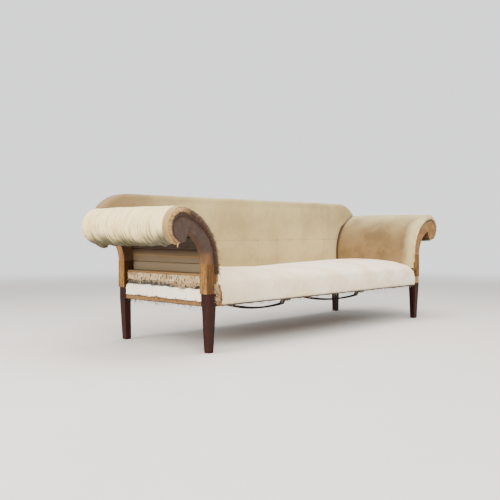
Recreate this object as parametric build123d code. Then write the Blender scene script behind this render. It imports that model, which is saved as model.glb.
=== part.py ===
"""A scroll arm sofa, stripped back to its timber frame, linings and calico.

Every piece of timber, iron and upholstery is a solid of its own. The sofa is
built about the middle of its four legs, then moved so that the origin lies on
the floor below the centre of the whole. +X runs along the seat, the front
faces -Y and +Z is up. All sizes are in millimetres and angles in degrees.
"""

import os
from math import atan2, cos, degrees, hypot, pi, radians, sin, sqrt

from build123d import *

# Fits between pieces
FIT = 0.2
TENON_END_ROOM = 1.0
SOFT_GAP = 0.4

# Legs, each one timber with the post above it
LEG_SIDE = 52
FRONT_HEAD_SIDE = 48
FRONT_FOOT_SIDE = 31
REAR_HEAD_SIDE = 42
REAR_FOOT_SIDE = 33
FOOT_INSET = 10
FOOT_BEVEL = 2.5
LEG_CLEAR_X = 1840
LEG_CLEAR_Y = 596
SHOW_WOOD_TOP = 283
POST_REBATE = 1.5
POST_PROUD = 10
POST_TOP = 425

# Seat rails and the tenons that hold them in the legs
RAIL_BOTTOM = 222
RAIL_HEIGHT = 60
RAIL_THICK = 44
FRONT_RAIL_SETBACK = 12
REAR_RAIL_SETBACK = 2
SIDE_RAIL_SETBACK = 3
TENON_LENGTH = 28
TENON_THICK = 14
TENON_HEIGHT = 20
TENON_STAGGER = 3
CORNER_BLOCK_LEG = 70
CORNER_BLOCK_HEIGHT = 45

# Scroll boards at both ends of each arm
NOSE_X = 1134
NOSE_Z = 594
NOSE_RADIUS = 62
NOSE_END_ANGLE = -107
THROAT_RADIUS = 165
THROAT_ANGLE = 107
LOOSE_TENON_SIDE = 10
LOOSE_TENON_LENGTH = 50
LOOSE_TENON_SPREAD = 22

# Rails that run along each arm between the scroll boards
ARM_RAIL_DEPTH = 26
ARM_RAIL_FROM = 138
ARM_RAIL_TO = 112
NOSE_RAIL_DEPTH = 24
NOSE_RAIL_FROM = 65
NOSE_RAIL_TO = -25
STUB_SIDE = 14
STUB_LENGTH = 16
TACK_RAIL_BOTTOM = 333
TACK_RAIL_HEIGHT = 42
TACK_RAIL_THICK = 36
TACK_RAIL_INSET = 2
TACK_TENON_HEIGHT = 24

# Slats nailed along the arm over the edges of the scroll boards
SLAT_COUNT = 5
SLAT_THICK = 8
SLAT_JOINT = 4
SLAT_SETBACK = 8
SLAT_GAP = 0.3
LOW_SLAT_RISE = 4

# Stuffing and linings of the arms
ARM_PAD_BOTTOM = 336
ARM_PAD_END_ANGLE = -98
ARM_PAD = 24
ROLL_X = 1129
ROLL_Z = 608
ROLL_RADIUS = 93
ARM_PAD_SETBACK = 1
COVER_THICK = 1.2

# Iron stretchers bowed below the seat
IRON_RIGHT_X = 325
IRON_LEFT_X = -368
IRON_WIDTH = 32
IRON_THICK = 10
IRON_SAG = 67
IRON_END = 40
IRON_KNEE = 14
IRON_DROP = 24
NAIL_SIDE = 5
NAIL_LENGTH = 30
NAIL_HEAD = 9.5
NAIL_HEAD_HEIGHT = 3
NAIL_EDGE = 11

# Webbing, springs and hessian of the seat
WEB_WIDTH = 50
WEB_THICK = 2.5
WEB_LAP = 0.2
WEB_COLUMNS = 6
WEB_COLUMN_PITCH = 280
WEB_ROWS = 2
WEB_ROW_PITCH = 240
WEB_FLAT = 34
WEB_END_INSET = 8
HESSIAN_THICK = 1.2
SEAT_HESSIAN_TOP = 330
SEAT_HESSIAN_MARGIN = 45
SPRING_TURNS = 2
SPRING_END_RADIUS = 44
SPRING_WAIST_RADIUS = 30
SPRING_WIRE = 4
SPRING_GAP = 0.6

# Stuffed seat
SEAT_PROUD = 4
SEAT_LIP_DRAW = 5
SEAT_ROLL_START = 310
SEAT_ROLL_DEPTH = 90
SEAT_CROWN_TOP = 390
SEAT_ROLL_DROP = 20
SEAT_REAR_DROP = 14
SEAT_SIDE_LIP = 9
SEAT_LAP_SPACE = 2
FLAP_BOTTOM = 247
FLAP_THICK = 1.4

# Back frame, built upright and then leaned
BACK_LEAN = 2
BACK_SETBACK = 6
BACK_FRAME_THICK = 38
BACK_POST_WIDTH = 45
BACK_POST_GAP = 4
BACK_TOP = 785
BACK_CAP = 25
BACK_CORNER_X = 957
BACK_CORNER_RADIUS = 215
TOP_RAIL_DEPTH = 77
STUFF_RAIL_BOTTOM = 330
STUFF_RAIL_HEIGHT = 45
MUNTIN_X = 300
MUNTIN_WIDTH = 40
BACK_TENON_LENGTH = 24
BACK_TENON_WIDTH = 26
WING_HEIGHT = 168
WING_OUT = 1060
WING_GAP = 1.4

# Webbing, hessian, stuffing and lining of the back
BACK_WEB_COUNT = 7
BACK_WEB_PITCH = 250
BACK_WEB_LAP = 30
BACK_PAD = 36
BACK_PAD_SIDE_GAP = 1.2
BACK_PAD_BOTTOM = 336
BACK_ROUND_DEPTH = 14
BACK_ROUND_FIRST = 5
BACK_ROUND_INSET = 22
BACK_WRAP = 4

# Sizes that follow from the ones above
X_IN = LEG_CLEAR_X / 2
X_OUT = X_IN + LEG_SIDE
Y_IN = LEG_CLEAR_Y / 2
Y_OUT = Y_IN + LEG_SIDE
POST_OUT_X = X_OUT + POST_PROUD
X_POST = (X_IN + POST_OUT_X) / 2
Y_POST = Y_IN + LEG_SIDE / 2
POST_OUT_Y = Y_OUT - POST_REBATE
RAIL_TOP = RAIL_BOTTOM + RAIL_HEIGHT
RAIL_MIDDLE = RAIL_BOTTOM + RAIL_HEIGHT / 2
FRONT_RAIL_FACE = -Y_OUT + FRONT_RAIL_SETBACK
FRONT_RAIL_INNER = FRONT_RAIL_FACE + RAIL_THICK
REAR_RAIL_FACE = Y_OUT - REAR_RAIL_SETBACK
REAR_RAIL_INNER = REAR_RAIL_FACE - RAIL_THICK
SIDE_RAIL_FACE = X_OUT - SIDE_RAIL_SETBACK
SIDE_RAIL_INNER = SIDE_RAIL_FACE - RAIL_THICK
TACK_RAIL_TOP = TACK_RAIL_BOTTOM + TACK_RAIL_HEIGHT
TACK_RAIL_INNER = X_IN + TACK_RAIL_INSET
TACK_RAIL_FACE = TACK_RAIL_INNER + TACK_RAIL_THICK
TACK_RAIL_MIDDLE_X = (TACK_RAIL_INNER + TACK_RAIL_FACE) / 2
TACK_RAIL_MIDDLE_Z = (TACK_RAIL_BOTTOM + TACK_RAIL_TOP) / 2

# The neck of the scroll leaves the post upright and meets the nose smoothly
NOSE_REACH = NOSE_X - X_IN
NOSE_RISE = NOSE_Z - POST_TOP
NECK_RADIUS = (NOSE_REACH**2 + NOSE_RISE**2 - NOSE_RADIUS**2) / (2 * (NOSE_REACH - NOSE_RADIUS))
NECK_CENTRE = (X_IN + NECK_RADIUS, POST_TOP)
NOSE_CENTRE = (NOSE_X, NOSE_Z)
THROAT_CENTRE = (POST_OUT_X + THROAT_RADIUS, POST_TOP)
MEET_ANGLE = degrees(atan2(NOSE_Z - NECK_CENTRE[1], NOSE_X - NECK_CENTRE[0]))

# The lining does the same round a larger roll
ROLL_CENTRE = (ROLL_X, ROLL_Z)
ARM_FACE_X = X_IN - ARM_PAD
ARM_REACH = ROLL_X - ARM_FACE_X
ARM_RISE = ROLL_Z - POST_TOP
ARM_RADIUS = (ARM_REACH**2 + ARM_RISE**2 - ROLL_RADIUS**2) / (2 * (ARM_REACH - ROLL_RADIUS))
ARM_CENTRE = (ARM_FACE_X + ARM_RADIUS, POST_TOP)

SLAT_FACE = SLAT_GAP + SLAT_THICK
BACK_FACE = Y_IN + BACK_SETBACK
BACK_REAR = BACK_FACE + BACK_FRAME_THICK
BACK_POST_OUT = ARM_FACE_X - BACK_POST_GAP
BACK_POST_IN = BACK_POST_OUT - BACK_POST_WIDTH
TOP_RAIL_BOTTOM = BACK_TOP - TOP_RAIL_DEPTH
WING_BOTTOM = TOP_RAIL_BOTTOM - WING_HEIGHT
STUFF_RAIL_TOP = STUFF_RAIL_BOTTOM + STUFF_RAIL_HEIGHT
BACK_LAYER = WEB_THICK + HESSIAN_THICK + 2 * WEB_LAP
BACK_PAD_REAR = BACK_FACE - BACK_LAYER - WEB_LAP
BACK_PAD_FACE = BACK_FACE - BACK_PAD
SEAT_FACE = -Y_OUT - SEAT_PROUD
SEAT_REAR = BACK_PAD_FACE - 2 * SOFT_GAP
ROWS_MIDDLE = (FRONT_RAIL_INNER + REAR_RAIL_INNER) / 2
LONG_REACH = 4 * (X_OUT + Y_OUT)

LEAN_RISE = BACK_TOP - RAIL_TOP
REAR_EXTENT = (
    BACK_FACE
    + (BACK_FRAME_THICK + BACK_WRAP) * cos(radians(BACK_LEAN))
    + LEAN_RISE * sin(radians(BACK_LEAN))
)
ORIGIN_SHIFT = Pos(0, (Y_OUT + SEAT_PROUD - REAR_EXTENT) / 2, 0)


def block(x0, x1, y0, y1, z0, z1):
    """A box given by its limits along the three axes."""
    middle = Pos((x0 + x1) / 2, (y0 + y1) / 2, (z0 + z1) / 2)
    return middle * Box(x1 - x0, y1 - y0, z1 - z0)


def grown(limits, by):
    """The limits of a box moved outward on every side."""
    x0, x1, y0, y1, z0, z1 = limits
    return (x0 - by, x1 + by, y0 - by, y1 + by, z0 - by, z1 + by)


def upright_bar(x, y, z0, z1, side):
    """A square bar standing on z0."""
    return Pos(x, y, (z0 + z1) / 2) * Box(side, side, z1 - z0)


def lengthwise_bar(x, z, y0, y1, side):
    """A square bar running front to back."""
    return Pos(x, (y0 + y1) / 2, z) * Box(side, y1 - y0, side)


def mirrored_x(shape):
    """The same piece on the left side of the sofa."""
    return mirror(shape, about=Plane.YZ)


def mirrored_y(shape):
    """The same piece at the other end, front to back."""
    return mirror(shape, about=Plane.XZ)


def on_circle(centre, radius, angle):
    """A point of the plane y = 0 on a circle seen from the front."""
    turn = radians(angle)
    return (centre[0] + radius * cos(turn), 0, centre[1] + radius * sin(turn))


def arc(centre, radius, start, end):
    """An arc of the plane y = 0 between two angles."""
    middle = (start + end) / 2
    return ThreePointArc(
        on_circle(centre, radius, start),
        on_circle(centre, radius, middle),
        on_circle(centre, radius, end),
    )


def joined_face(edges):
    """A flat face bounded by edges that follow one another."""
    return Face(Wire(edges))


def closed_by_lines(edges):
    """The edges in order, with a straight line wherever two ends stand apart."""
    ring = []
    for edge, following in zip(edges, edges[1:] + edges[:1]):
        ring.append(edge)
        if (edge @ 1 - following @ 0).length > 1e-6:
            ring.append(Line(edge @ 1, following @ 0))
    return ring


def through(face, y0, y1):
    """A face of the plane y = 0 carried from y0 to y1."""
    return Pos(0, y0, 0) * extrude(face, amount=y1 - y0, dir=(0, 1, 0))


def long_tenon(y_face, toward):
    """Limits of the tenon of a long seat rail, in the upper half of the rail."""
    y_middle = y_face + toward * RAIL_THICK / 2
    y0 = y_middle - TENON_THICK / 2
    z0 = RAIL_MIDDLE + TENON_STAGGER
    return (X_IN, X_IN + TENON_LENGTH, y0, y0 + TENON_THICK, z0, z0 + TENON_HEIGHT)


def side_tenon():
    """Limits of the tenon of a side rail in the front leg, in the lower half."""
    x0 = SIDE_RAIL_FACE - RAIL_THICK / 2 - TENON_THICK / 2
    z1 = RAIL_MIDDLE - TENON_STAGGER
    return (x0, x0 + TENON_THICK, -Y_IN - TENON_LENGTH, -Y_IN, z1 - TENON_HEIGHT, z1)


def tack_tenon():
    """Limits of the tenon of the arm tacking rail in the front post."""
    x0 = TACK_RAIL_MIDDLE_X - TENON_THICK / 2
    z0 = TACK_RAIL_MIDDLE_Z - TACK_TENON_HEIGHT / 2
    return (x0, x0 + TENON_THICK, -Y_IN - TENON_LENGTH, -Y_IN, z0, z0 + TACK_TENON_HEIGHT)


def mortise(limits):
    """The hole for a tenon, a little wider and deeper than it all round."""
    x0, x1, y0, y1, z0, z1 = grown(limits, FIT)
    along_x = limits[0] == X_IN
    deeper_x = TENON_END_ROOM if along_x else 0
    deeper_y = 0 if along_x else TENON_END_ROOM
    return block(x0, x1 + deeper_x, y0 - deeper_y, y1, z0, z1)


def loose_tenon_places():
    """Where the two loose tenons of a front scroll joint stand."""
    off = LOOSE_TENON_SPREAD / 2
    return [(X_POST, -Y_POST - off), (X_POST, -Y_POST + off)]


def loose_tenon_mortise(x, y):
    """The hole for one loose tenon on both sides of a scroll joint."""
    half = LOOSE_TENON_LENGTH / 2 + TENON_END_ROOM
    return upright_bar(x, y, POST_TOP - half, POST_TOP + half, LOOSE_TENON_SIDE + 2 * FIT)


def leg_square(side, inset, z):
    """Corners of a square across the leg, at a distance from the two outer faces."""
    x1 = X_OUT - inset
    y0 = inset - Y_OUT
    return [(x1 - side, y0, z), (x1, y0, z), (x1, y0 + side, z), (x1 - side, y0 + side, z)]


def tapered_block(low, high):
    """A block with flat sides between two squares at different heights."""
    rings = [low, high]
    for number in range(len(low)):
        following = (number + 1) % len(low)
        rings.append([low[number], low[following], high[following], high[number]])
    return Solid(Shell([Face(Wire.make_polygon(ring)) for ring in rings]))


def leg(rail_face, head_side, foot_side):
    """The front right leg, or the rear one seen in a mirror, with its mortises."""
    tread = leg_square(foot_side - 2 * FOOT_BEVEL, FOOT_INSET + FOOT_BEVEL, 0)
    foot = leg_square(foot_side, FOOT_INSET, FOOT_BEVEL)
    head = leg_square(head_side, 0, RAIL_BOTTOM)
    taper = tapered_block(tread, foot) + tapered_block(foot, head)
    square = block(X_IN, X_OUT, -Y_OUT, -Y_IN, RAIL_BOTTOM, SHOW_WOOD_TOP)
    post = block(X_IN, POST_OUT_X, -POST_OUT_Y, -Y_IN, SHOW_WOOD_TOP, POST_TOP)
    timber = taper + square + post
    timber -= mortise(long_tenon(rail_face, 1))
    timber -= mortise(side_tenon())
    timber -= mortise(tack_tenon())
    for x, y in loose_tenon_places():
        timber -= loose_tenon_mortise(x, y)
    return timber


def long_rail(y_face, toward):
    """A seat rail along the length, with a tenon at each end."""
    y0, y1 = sorted((y_face, y_face + toward * RAIL_THICK))
    rail = block(-X_IN, X_IN, y0, y1, RAIL_BOTTOM, RAIL_TOP)
    tenon = block(*long_tenon(y_face, toward))
    return rail + tenon + mirrored_x(tenon)


def side_rail():
    """The right seat rail from front to back."""
    rail = block(SIDE_RAIL_INNER, SIDE_RAIL_FACE, -Y_IN, Y_IN, RAIL_BOTTOM, RAIL_TOP)
    tenon = block(*side_tenon())
    return rail + tenon + mirrored_y(tenon)


def leg_corner(side, end):
    """The square of one leg, which a corner block is notched round."""
    x0, x1 = sorted((side * X_IN, side * X_OUT))
    y0, y1 = sorted((end * Y_IN, end * Y_OUT))
    return block(x0, x1, y0, y1, 0, POST_TOP)


def corner_blocks():
    """Four glued blocks in the corners of the seat frame."""
    z0 = RAIL_MIDDLE - CORNER_BLOCK_HEIGHT / 2
    blocks = []
    for side in (-1, 1):
        for y, inward in ((FRONT_RAIL_INNER, 1), (REAR_RAIL_INNER, -1)):
            x = side * SIDE_RAIL_INNER
            corner = (x, y, z0)
            along = (x - side * CORNER_BLOCK_LEG, y, z0)
            across = (x, y + inward * CORNER_BLOCK_LEG, z0)
            face = joined_face([Line(corner, along), Line(along, across), Line(across, corner)])
            wedge = extrude(face, amount=CORNER_BLOCK_HEIGHT, dir=(0, 0, 1))
            blocks.append(wedge - leg_corner(side, -inward))
    return blocks


def scroll_outline():
    """The scroll board of the right arm, seen from the front."""
    neck = arc(NECK_CENTRE, NECK_RADIUS, 180, MEET_ANGLE)
    nose_top = arc(NOSE_CENTRE, NOSE_RADIUS, MEET_ANGLE, 0)
    nose_under = arc(NOSE_CENTRE, NOSE_RADIUS, 0, NOSE_END_ANGLE)
    throat = arc(THROAT_CENTRE, THROAT_RADIUS, THROAT_ANGLE, 180)
    return joined_face(closed_by_lines([neck, nose_top, nose_under, throat]))


def arm_stub_centre():
    """The middle of the arm top rail, where its stub tenons are."""
    middle = (ARM_RAIL_FROM + ARM_RAIL_TO) / 2
    return on_circle(NECK_CENTRE, NECK_RADIUS - ARM_RAIL_DEPTH / 2, middle)


def nose_stub_centre():
    """The middle of the nose rail, where its stub tenons are."""
    middle = (NOSE_RAIL_FROM + NOSE_RAIL_TO) / 2
    return on_circle(NOSE_CENTRE, NOSE_RADIUS - NOSE_RAIL_DEPTH / 2, middle)


def scroll_board():
    """The front right scroll board, mortised for its tenons."""
    board = through(scroll_outline(), -POST_OUT_Y, -Y_IN)
    for x, y in loose_tenon_places():
        board -= loose_tenon_mortise(x, y)
    for x, _, z in (arm_stub_centre(), nose_stub_centre()):
        y0 = -Y_IN - STUB_LENGTH - TENON_END_ROOM
        board -= lengthwise_bar(x, z, y0, -Y_IN, STUB_SIDE + 2 * FIT)
    return board


def loose_tenons():
    """Two loose tenons in each of the four scroll joints."""
    z0 = POST_TOP - LOOSE_TENON_LENGTH / 2
    bars = []
    for x, y in loose_tenon_places():
        for side in (-1, 1):
            for end in (-1, 1):
                place = (side * x, end * y, z0, z0 + LOOSE_TENON_LENGTH)
                bars.append(upright_bar(*place, LOOSE_TENON_SIDE))
    return bars


def ring_piece(centre, inner, outer, start, end):
    """A face between two arcs about one centre."""
    outside = arc(centre, outer, start, end)
    inside = arc(centre, inner, end, start)
    return joined_face(closed_by_lines([outside, inside]))


def stubbed_rail(face, stub):
    """A shaped rail between the scroll boards with a stub tenon at each end."""
    x, _, z = stub
    rail = through(face, -Y_IN, Y_IN)
    reach = Y_IN + STUB_LENGTH
    return rail + lengthwise_bar(x, z, -reach, reach, STUB_SIDE)


def arm_top_rail():
    """The rail below the top of the right arm."""
    inner = NECK_RADIUS - ARM_RAIL_DEPTH
    face = ring_piece(NECK_CENTRE, inner, NECK_RADIUS, ARM_RAIL_FROM, ARM_RAIL_TO)
    return stubbed_rail(face, arm_stub_centre())


def arm_nose_rail():
    """The rail that carries the outer side of the right roll."""
    inner = NOSE_RADIUS - NOSE_RAIL_DEPTH
    face = ring_piece(NOSE_CENTRE, inner, NOSE_RADIUS, NOSE_RAIL_FROM, NOSE_RAIL_TO)
    return stubbed_rail(face, nose_stub_centre())


def arm_tacking_rail():
    """The low rail of the right arm that the linings are tacked to."""
    limits = (TACK_RAIL_INNER, TACK_RAIL_FACE, -Y_IN, Y_IN, TACK_RAIL_BOTTOM, TACK_RAIL_TOP)
    tenon = block(*tack_tenon())
    return block(*limits) + tenon + mirrored_y(tenon)


def arm_slats():
    """Slats of the right arm, a straight one low down and curved ones above."""
    reach = POST_OUT_Y - SLAT_SETBACK
    x1 = X_IN - SLAT_GAP
    z0 = TACK_RAIL_TOP + LOW_SLAT_RISE
    slats = [block(x1 - SLAT_THICK, x1, -reach, reach, z0, POST_TOP - SLAT_JOINT)]
    step = (180 - MEET_ANGLE) / SLAT_COUNT
    joint = degrees(SLAT_JOINT / NECK_RADIUS)
    inner = NECK_RADIUS + SLAT_GAP
    for number in range(SLAT_COUNT):
        start = 180 - number * step
        face = ring_piece(NECK_CENTRE, inner, inner + SLAT_THICK, start, start - step + joint)
        slats.append(through(face, -reach, reach))
    return slats


def arm_edges(x_low, nose_centre, nose_radius):
    """The sweep of an arm from low down, up the neck and round the nose."""
    reach = nose_centre[0] - x_low
    rise = nose_centre[1] - POST_TOP
    radius = (reach**2 + rise**2 - nose_radius**2) / (2 * (reach - nose_radius))
    centre = (x_low + radius, POST_TOP)
    meet = degrees(atan2(rise, nose_centre[0] - centre[0]))
    return [
        Line((x_low, 0, ARM_PAD_BOTTOM), (x_low, 0, POST_TOP)),
        arc(centre, radius, 180, meet),
        arc(nose_centre, nose_radius, meet, 0),
        arc(nose_centre, nose_radius, 0, ARM_PAD_END_ANGLE),
    ]


def turned_back(edges):
    """The same edges run through the other way."""
    turned = []
    for edge in reversed(edges):
        start, middle, end = edge @ 1, edge @ 0.5, edge @ 0
        straight = edge.geom_type == GeomType.LINE
        turned.append(Line(start, end) if straight else ThreePointArc(start, middle, end))
    return turned


def arm_timber_edges():
    """The inner side of the arm stuffing, clear of the slats and the scroll."""
    off = SLAT_FACE + SOFT_GAP
    return [
        Line((X_IN - off, 0, ARM_PAD_BOTTOM), (X_IN - off, 0, POST_TOP)),
        arc(NECK_CENTRE, NECK_RADIUS + off, 180, MEET_ANGLE),
        arc(NOSE_CENTRE, NOSE_RADIUS + SOFT_GAP, MEET_ANGLE, 0),
        arc(NOSE_CENTRE, NOSE_RADIUS + SOFT_GAP, 0, ARM_PAD_END_ANGLE),
    ]


def lining_edges(inset):
    """The outer side of an arm lining, drawn in by an inset."""
    return arm_edges(ARM_FACE_X + inset, ROLL_CENTRE, ROLL_RADIUS - inset)


def arm_layer(outer, inner):
    """A layer of the right arm between two sweeps, as long as the arm."""
    reach = POST_OUT_Y - ARM_PAD_SETBACK
    face = joined_face(closed_by_lines(outer + turned_back(inner)))
    return through(face, -reach, reach)


def arm_pad():
    """The stuffing of the right arm."""
    return arm_layer(lining_edges(COVER_THICK + SOFT_GAP), arm_timber_edges())


def arm_cover():
    """The lining stretched over the stuffing of the right arm."""
    return arm_layer(lining_edges(0), lining_edges(COVER_THICK))


def iron_nail_places():
    """Where the nails of both iron stretchers are, as x and y."""
    front = FRONT_RAIL_FACE + SEAT_LAP_SPACE
    rear = REAR_RAIL_FACE - SEAT_LAP_SPACE
    ys = (front + NAIL_EDGE, front + IRON_END - NAIL_EDGE, rear - IRON_END + NAIL_EDGE, rear - NAIL_EDGE)
    return [(x, y) for x in (IRON_LEFT_X, IRON_RIGHT_X) for y in ys]


def nail_hole(x, y):
    """The hole for one nail through the iron and into the rail."""
    z0 = RAIL_BOTTOM - IRON_THICK - FIT
    z1 = z0 + NAIL_LENGTH + TENON_END_ROOM
    return upright_bar(x, y, z0, z1, NAIL_SIDE + 2 * FIT)


def stretcher_nails():
    """Square wrought nails that hold the ends of both irons."""
    z0 = RAIL_BOTTOM - IRON_THICK
    nails = []
    for x, y in iron_nail_places():
        shank = upright_bar(x, y, z0, z0 + NAIL_LENGTH, NAIL_SIDE)
        head = upright_bar(x, y, z0 - NAIL_HEAD_HEIGHT, z0, NAIL_HEAD)
        rim = head.faces().sort_by(Axis.Z)[0].edges()
        nails.append(shank + chamfer(rim, NAIL_HEAD_HEIGHT / 2))
    return nails


def iron_lines():
    """The upper and lower lines of the front half of a bowed iron, as points in y and z."""
    start = FRONT_RAIL_FACE + SEAT_LAP_SPACE
    bend = start + IRON_END
    upper = [
        (start, RAIL_BOTTOM),
        (bend, RAIL_BOTTOM),
        (bend + IRON_KNEE, RAIL_BOTTOM - IRON_DROP),
    ]
    steep = atan2(IRON_DROP, IRON_KNEE)
    back = IRON_THICK * sin(steep) / (1 + cos(steep))
    lower = [(start, RAIL_BOTTOM - IRON_THICK)]
    lower += [(y - back, z - IRON_THICK) for y, z in upper[1:]]
    return upper, lower


def iron_side(x, line, low, way):
    """One long side of an iron's outline: from front to rear for way 1, back again for way -1."""
    middle = (FRONT_RAIL_FACE + REAR_RAIL_FACE) / 2
    first = [(x, middle + way * (y - middle), z) for y, z in line]
    last = [(x, middle - way * (y - middle), z) for y, z in reversed(line)]
    bow = ThreePointArc(first[-1], (x, middle, RAIL_BOTTOM - low), last[0])
    return [Line(*first[:2]), Line(*first[1:]), bow, Line(*last[:2]), Line(*last[1:])]


def iron_stretcher(middle_x):
    """A flat iron, cranked down at its ends and bowed between the front and rear rails."""
    x = middle_x - IRON_WIDTH / 2
    upper, lower = iron_lines()
    edges = iron_side(x, upper, IRON_SAG, 1) + iron_side(x, lower, IRON_SAG + IRON_THICK, -1)
    bar = extrude(joined_face(closed_by_lines(edges)), amount=IRON_WIDTH, dir=(1, 0, 0))
    for x, y in iron_nail_places():
        if x == middle_x:
            bar -= nail_hole(x, y)
    return bar


def pierced_for_irons(rail):
    """A long rail with the holes for the nails of both irons."""
    for x, y in iron_nail_places():
        rail -= nail_hole(x, y)
    return rail


def column_places():
    """The middles of the webs that run front to back."""
    first = -(WEB_COLUMNS - 1) / 2
    return [(first + number) * WEB_COLUMN_PITCH for number in range(WEB_COLUMNS)]


def row_places():
    """The middles of the webs that run along the seat."""
    first = -(WEB_ROWS - 1) / 2
    return [ROWS_MIDDLE + (first + number) * WEB_ROW_PITCH for number in range(WEB_ROWS)]


def web_passes_over(row, column):
    """Whether the long web lies above the cross web where they meet."""
    return (row + column) % 2 == 0


def seat_cross_webs():
    """Flat webs tacked under the front and rear rails."""
    y0 = FRONT_RAIL_FACE + WEB_END_INSET
    y1 = REAR_RAIL_FACE - WEB_END_INSET
    half = WEB_WIDTH / 2
    z0 = RAIL_BOTTOM - WEB_THICK
    return [block(x - half, x + half, y0, y1, z0, RAIL_BOTTOM) for x in column_places()]


def long_web_path(row):
    """Heights of the underside of a long web as it weaves along the seat."""
    level = RAIL_BOTTOM - WEB_THICK
    step = WEB_THICK + WEB_LAP
    end = SIDE_RAIL_FACE - WEB_END_INSET
    path = [(-end, level), (-SIDE_RAIL_INNER, level)]
    for column, x in enumerate(column_places()):
        z = level + step if web_passes_over(row, column) else level - step
        path += [(x - WEB_FLAT, z), (x + WEB_FLAT, z)]
    return path + [(SIDE_RAIL_INNER, level), (end, level)]


def seat_long_webs():
    """Webs along the seat, woven over and under the cross webs."""
    webs = []
    for row, y in enumerate(row_places()):
        under = [(x, 0, z) for x, z in long_web_path(row)]
        over = [(x, 0, z + WEB_THICK) for x, z in reversed(long_web_path(row))]
        ring = under + over
        edges = [Line(a, b) for a, b in zip(ring, ring[1:] + ring[:1])]
        webs.append(through(joined_face(edges), y - WEB_WIDTH / 2, y + WEB_WIDTH / 2))
    return webs


def spring_state(share, foot, head):
    """Point and direction on the wire after a share of all its turns."""
    turn = 2 * pi * SPRING_TURNS * share
    spread = SPRING_END_RADIUS - SPRING_WAIST_RADIUS
    radius = SPRING_WAIST_RADIUS + spread * (2 * share - 1) ** 2
    widening = 4 * spread * (2 * share - 1)
    height = head - foot
    rise = share - sin(2 * pi * share) / (2 * pi)
    speed = 2 * pi * SPRING_TURNS
    point = Vector(radius * cos(turn), radius * sin(turn), foot + height * rise)
    direction = Vector(
        widening * cos(turn) - radius * speed * sin(turn),
        widening * sin(turn) + radius * speed * cos(turn),
        height * (1 - cos(2 * pi * share)),
    )
    return point, direction.normalized()


def arc_pair(start, end):
    """Two arcs that join two states of the wire without a kink."""
    (p0, t0), (p1, t1) = start, end
    chord = p1 - p0
    along = chord.dot(t0 + t1)
    spread = 2 * (1 - t0.dot(t1))
    reach = (-along + sqrt(along**2 + spread * chord.dot(chord))) / spread
    first = p0 + t0 * reach
    second = p1 - t1 * reach
    joint = (first + second) / 2
    return [
        TangentArc(p0, joint, tangent=t0),
        TangentArc(joint, p1, tangent=(second - first).normalized()),
    ]


def spring(foot, head):
    """One waisted coil spring of square wire between two heights."""
    half_turns = 2 * SPRING_TURNS
    states = [spring_state(k / half_turns, foot, head) for k in range(half_turns + 1)]
    edges = []
    for start, end in zip(states, states[1:]):
        edges += arc_pair(start, end)
    point, direction = states[0]
    end_face = Plane(origin=point, z_dir=direction) * Rectangle(SPRING_WIRE, SPRING_WIRE)
    return sweep(end_face, path=Wire(edges))


def spring_self_gap(foot, head):
    """The least air between one turn of a spring and the next, on points."""
    count = 40 * SPRING_TURNS
    points = [spring_state(k / count, foot, head)[0] for k in range(count + 1)]
    apart = [
        (points[j] - points[i]).length
        for i in range(count + 1)
        for j in range(i + 30, count + 1)
    ]
    return min(apart) - SPRING_WIRE * sqrt(2)


def seat_springs():
    """A spring on every crossing of the seat webs."""
    half_wire = SPRING_WIRE / 2
    head = SEAT_HESSIAN_TOP - HESSIAN_THICK - SPRING_GAP - half_wire
    low_foot = RAIL_BOTTOM + SPRING_GAP + half_wire
    high_foot = low_foot + WEB_THICK + WEB_LAP
    patterns = {False: spring(low_foot, head), True: spring(high_foot, head)}
    print("least gap of a spring to itself, mm:", round(spring_self_gap(high_foot, head), 2))
    springs = []
    for row, y in enumerate(row_places()):
        for column, x in enumerate(column_places()):
            springs.append(Pos(x, y, 0) * patterns[web_passes_over(row, column)])
    return springs


def seat_hessian():
    """The hessian laid over the springs, below the stuffing."""
    x = X_IN - SEAT_HESSIAN_MARGIN
    y0 = FRONT_RAIL_INNER
    y1 = SEAT_REAR - SEAT_HESSIAN_MARGIN / 2
    return block(-x, x, y0, y1, SEAT_HESSIAN_TOP - HESSIAN_THICK, SEAT_HESSIAN_TOP)


def seat_section(x, inset):
    """The stuffed seat cut across, drawn in from its outer face by an inset."""
    crown = SEAT_CROWN_TOP - inset
    face = SEAT_FACE + inset
    lip = FRONT_RAIL_FACE - SOFT_GAP
    low = RAIL_BOTTOM + inset
    floor = RAIL_TOP + SOFT_GAP
    roll_y = face + SEAT_ROLL_DEPTH
    roll_z = crown - SEAT_ROLL_DROP
    ease = 1 - cos(pi / 4)
    roll_middle = (x, face + ease * SEAT_ROLL_DEPTH, roll_z - ease * (roll_z - SEAT_ROLL_START))
    rear_z = crown - SEAT_REAR_DROP
    corners = [
        (x, lip, floor),
        (x, lip, low),
        (x, face + SEAT_LIP_DRAW, low),
        (x, face, SEAT_ROLL_START),
        (x, roll_y, roll_z),
        (x, SEAT_REAR, rear_z),
        (x, SEAT_REAR, floor),
    ]
    crown_middle = (x, (roll_y + SEAT_REAR) / 2, crown)
    return joined_face(
        [
            Line(corners[0], corners[1]),
            Line(corners[1], corners[2]),
            Line(corners[2], corners[3]),
            ThreePointArc(corners[3], roll_middle, corners[4]),
            ThreePointArc(corners[4], crown_middle, corners[5]),
            Line(corners[5], corners[6]),
            Line(corners[6], corners[0]),
        ]
    )


def seat_solid(inset):
    """The whole stuffed seat between the legs."""
    end_x = X_IN - SOFT_GAP - inset
    return extrude(seat_section(-end_x, inset), amount=2 * end_x, dir=(1, 0, 0))


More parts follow.
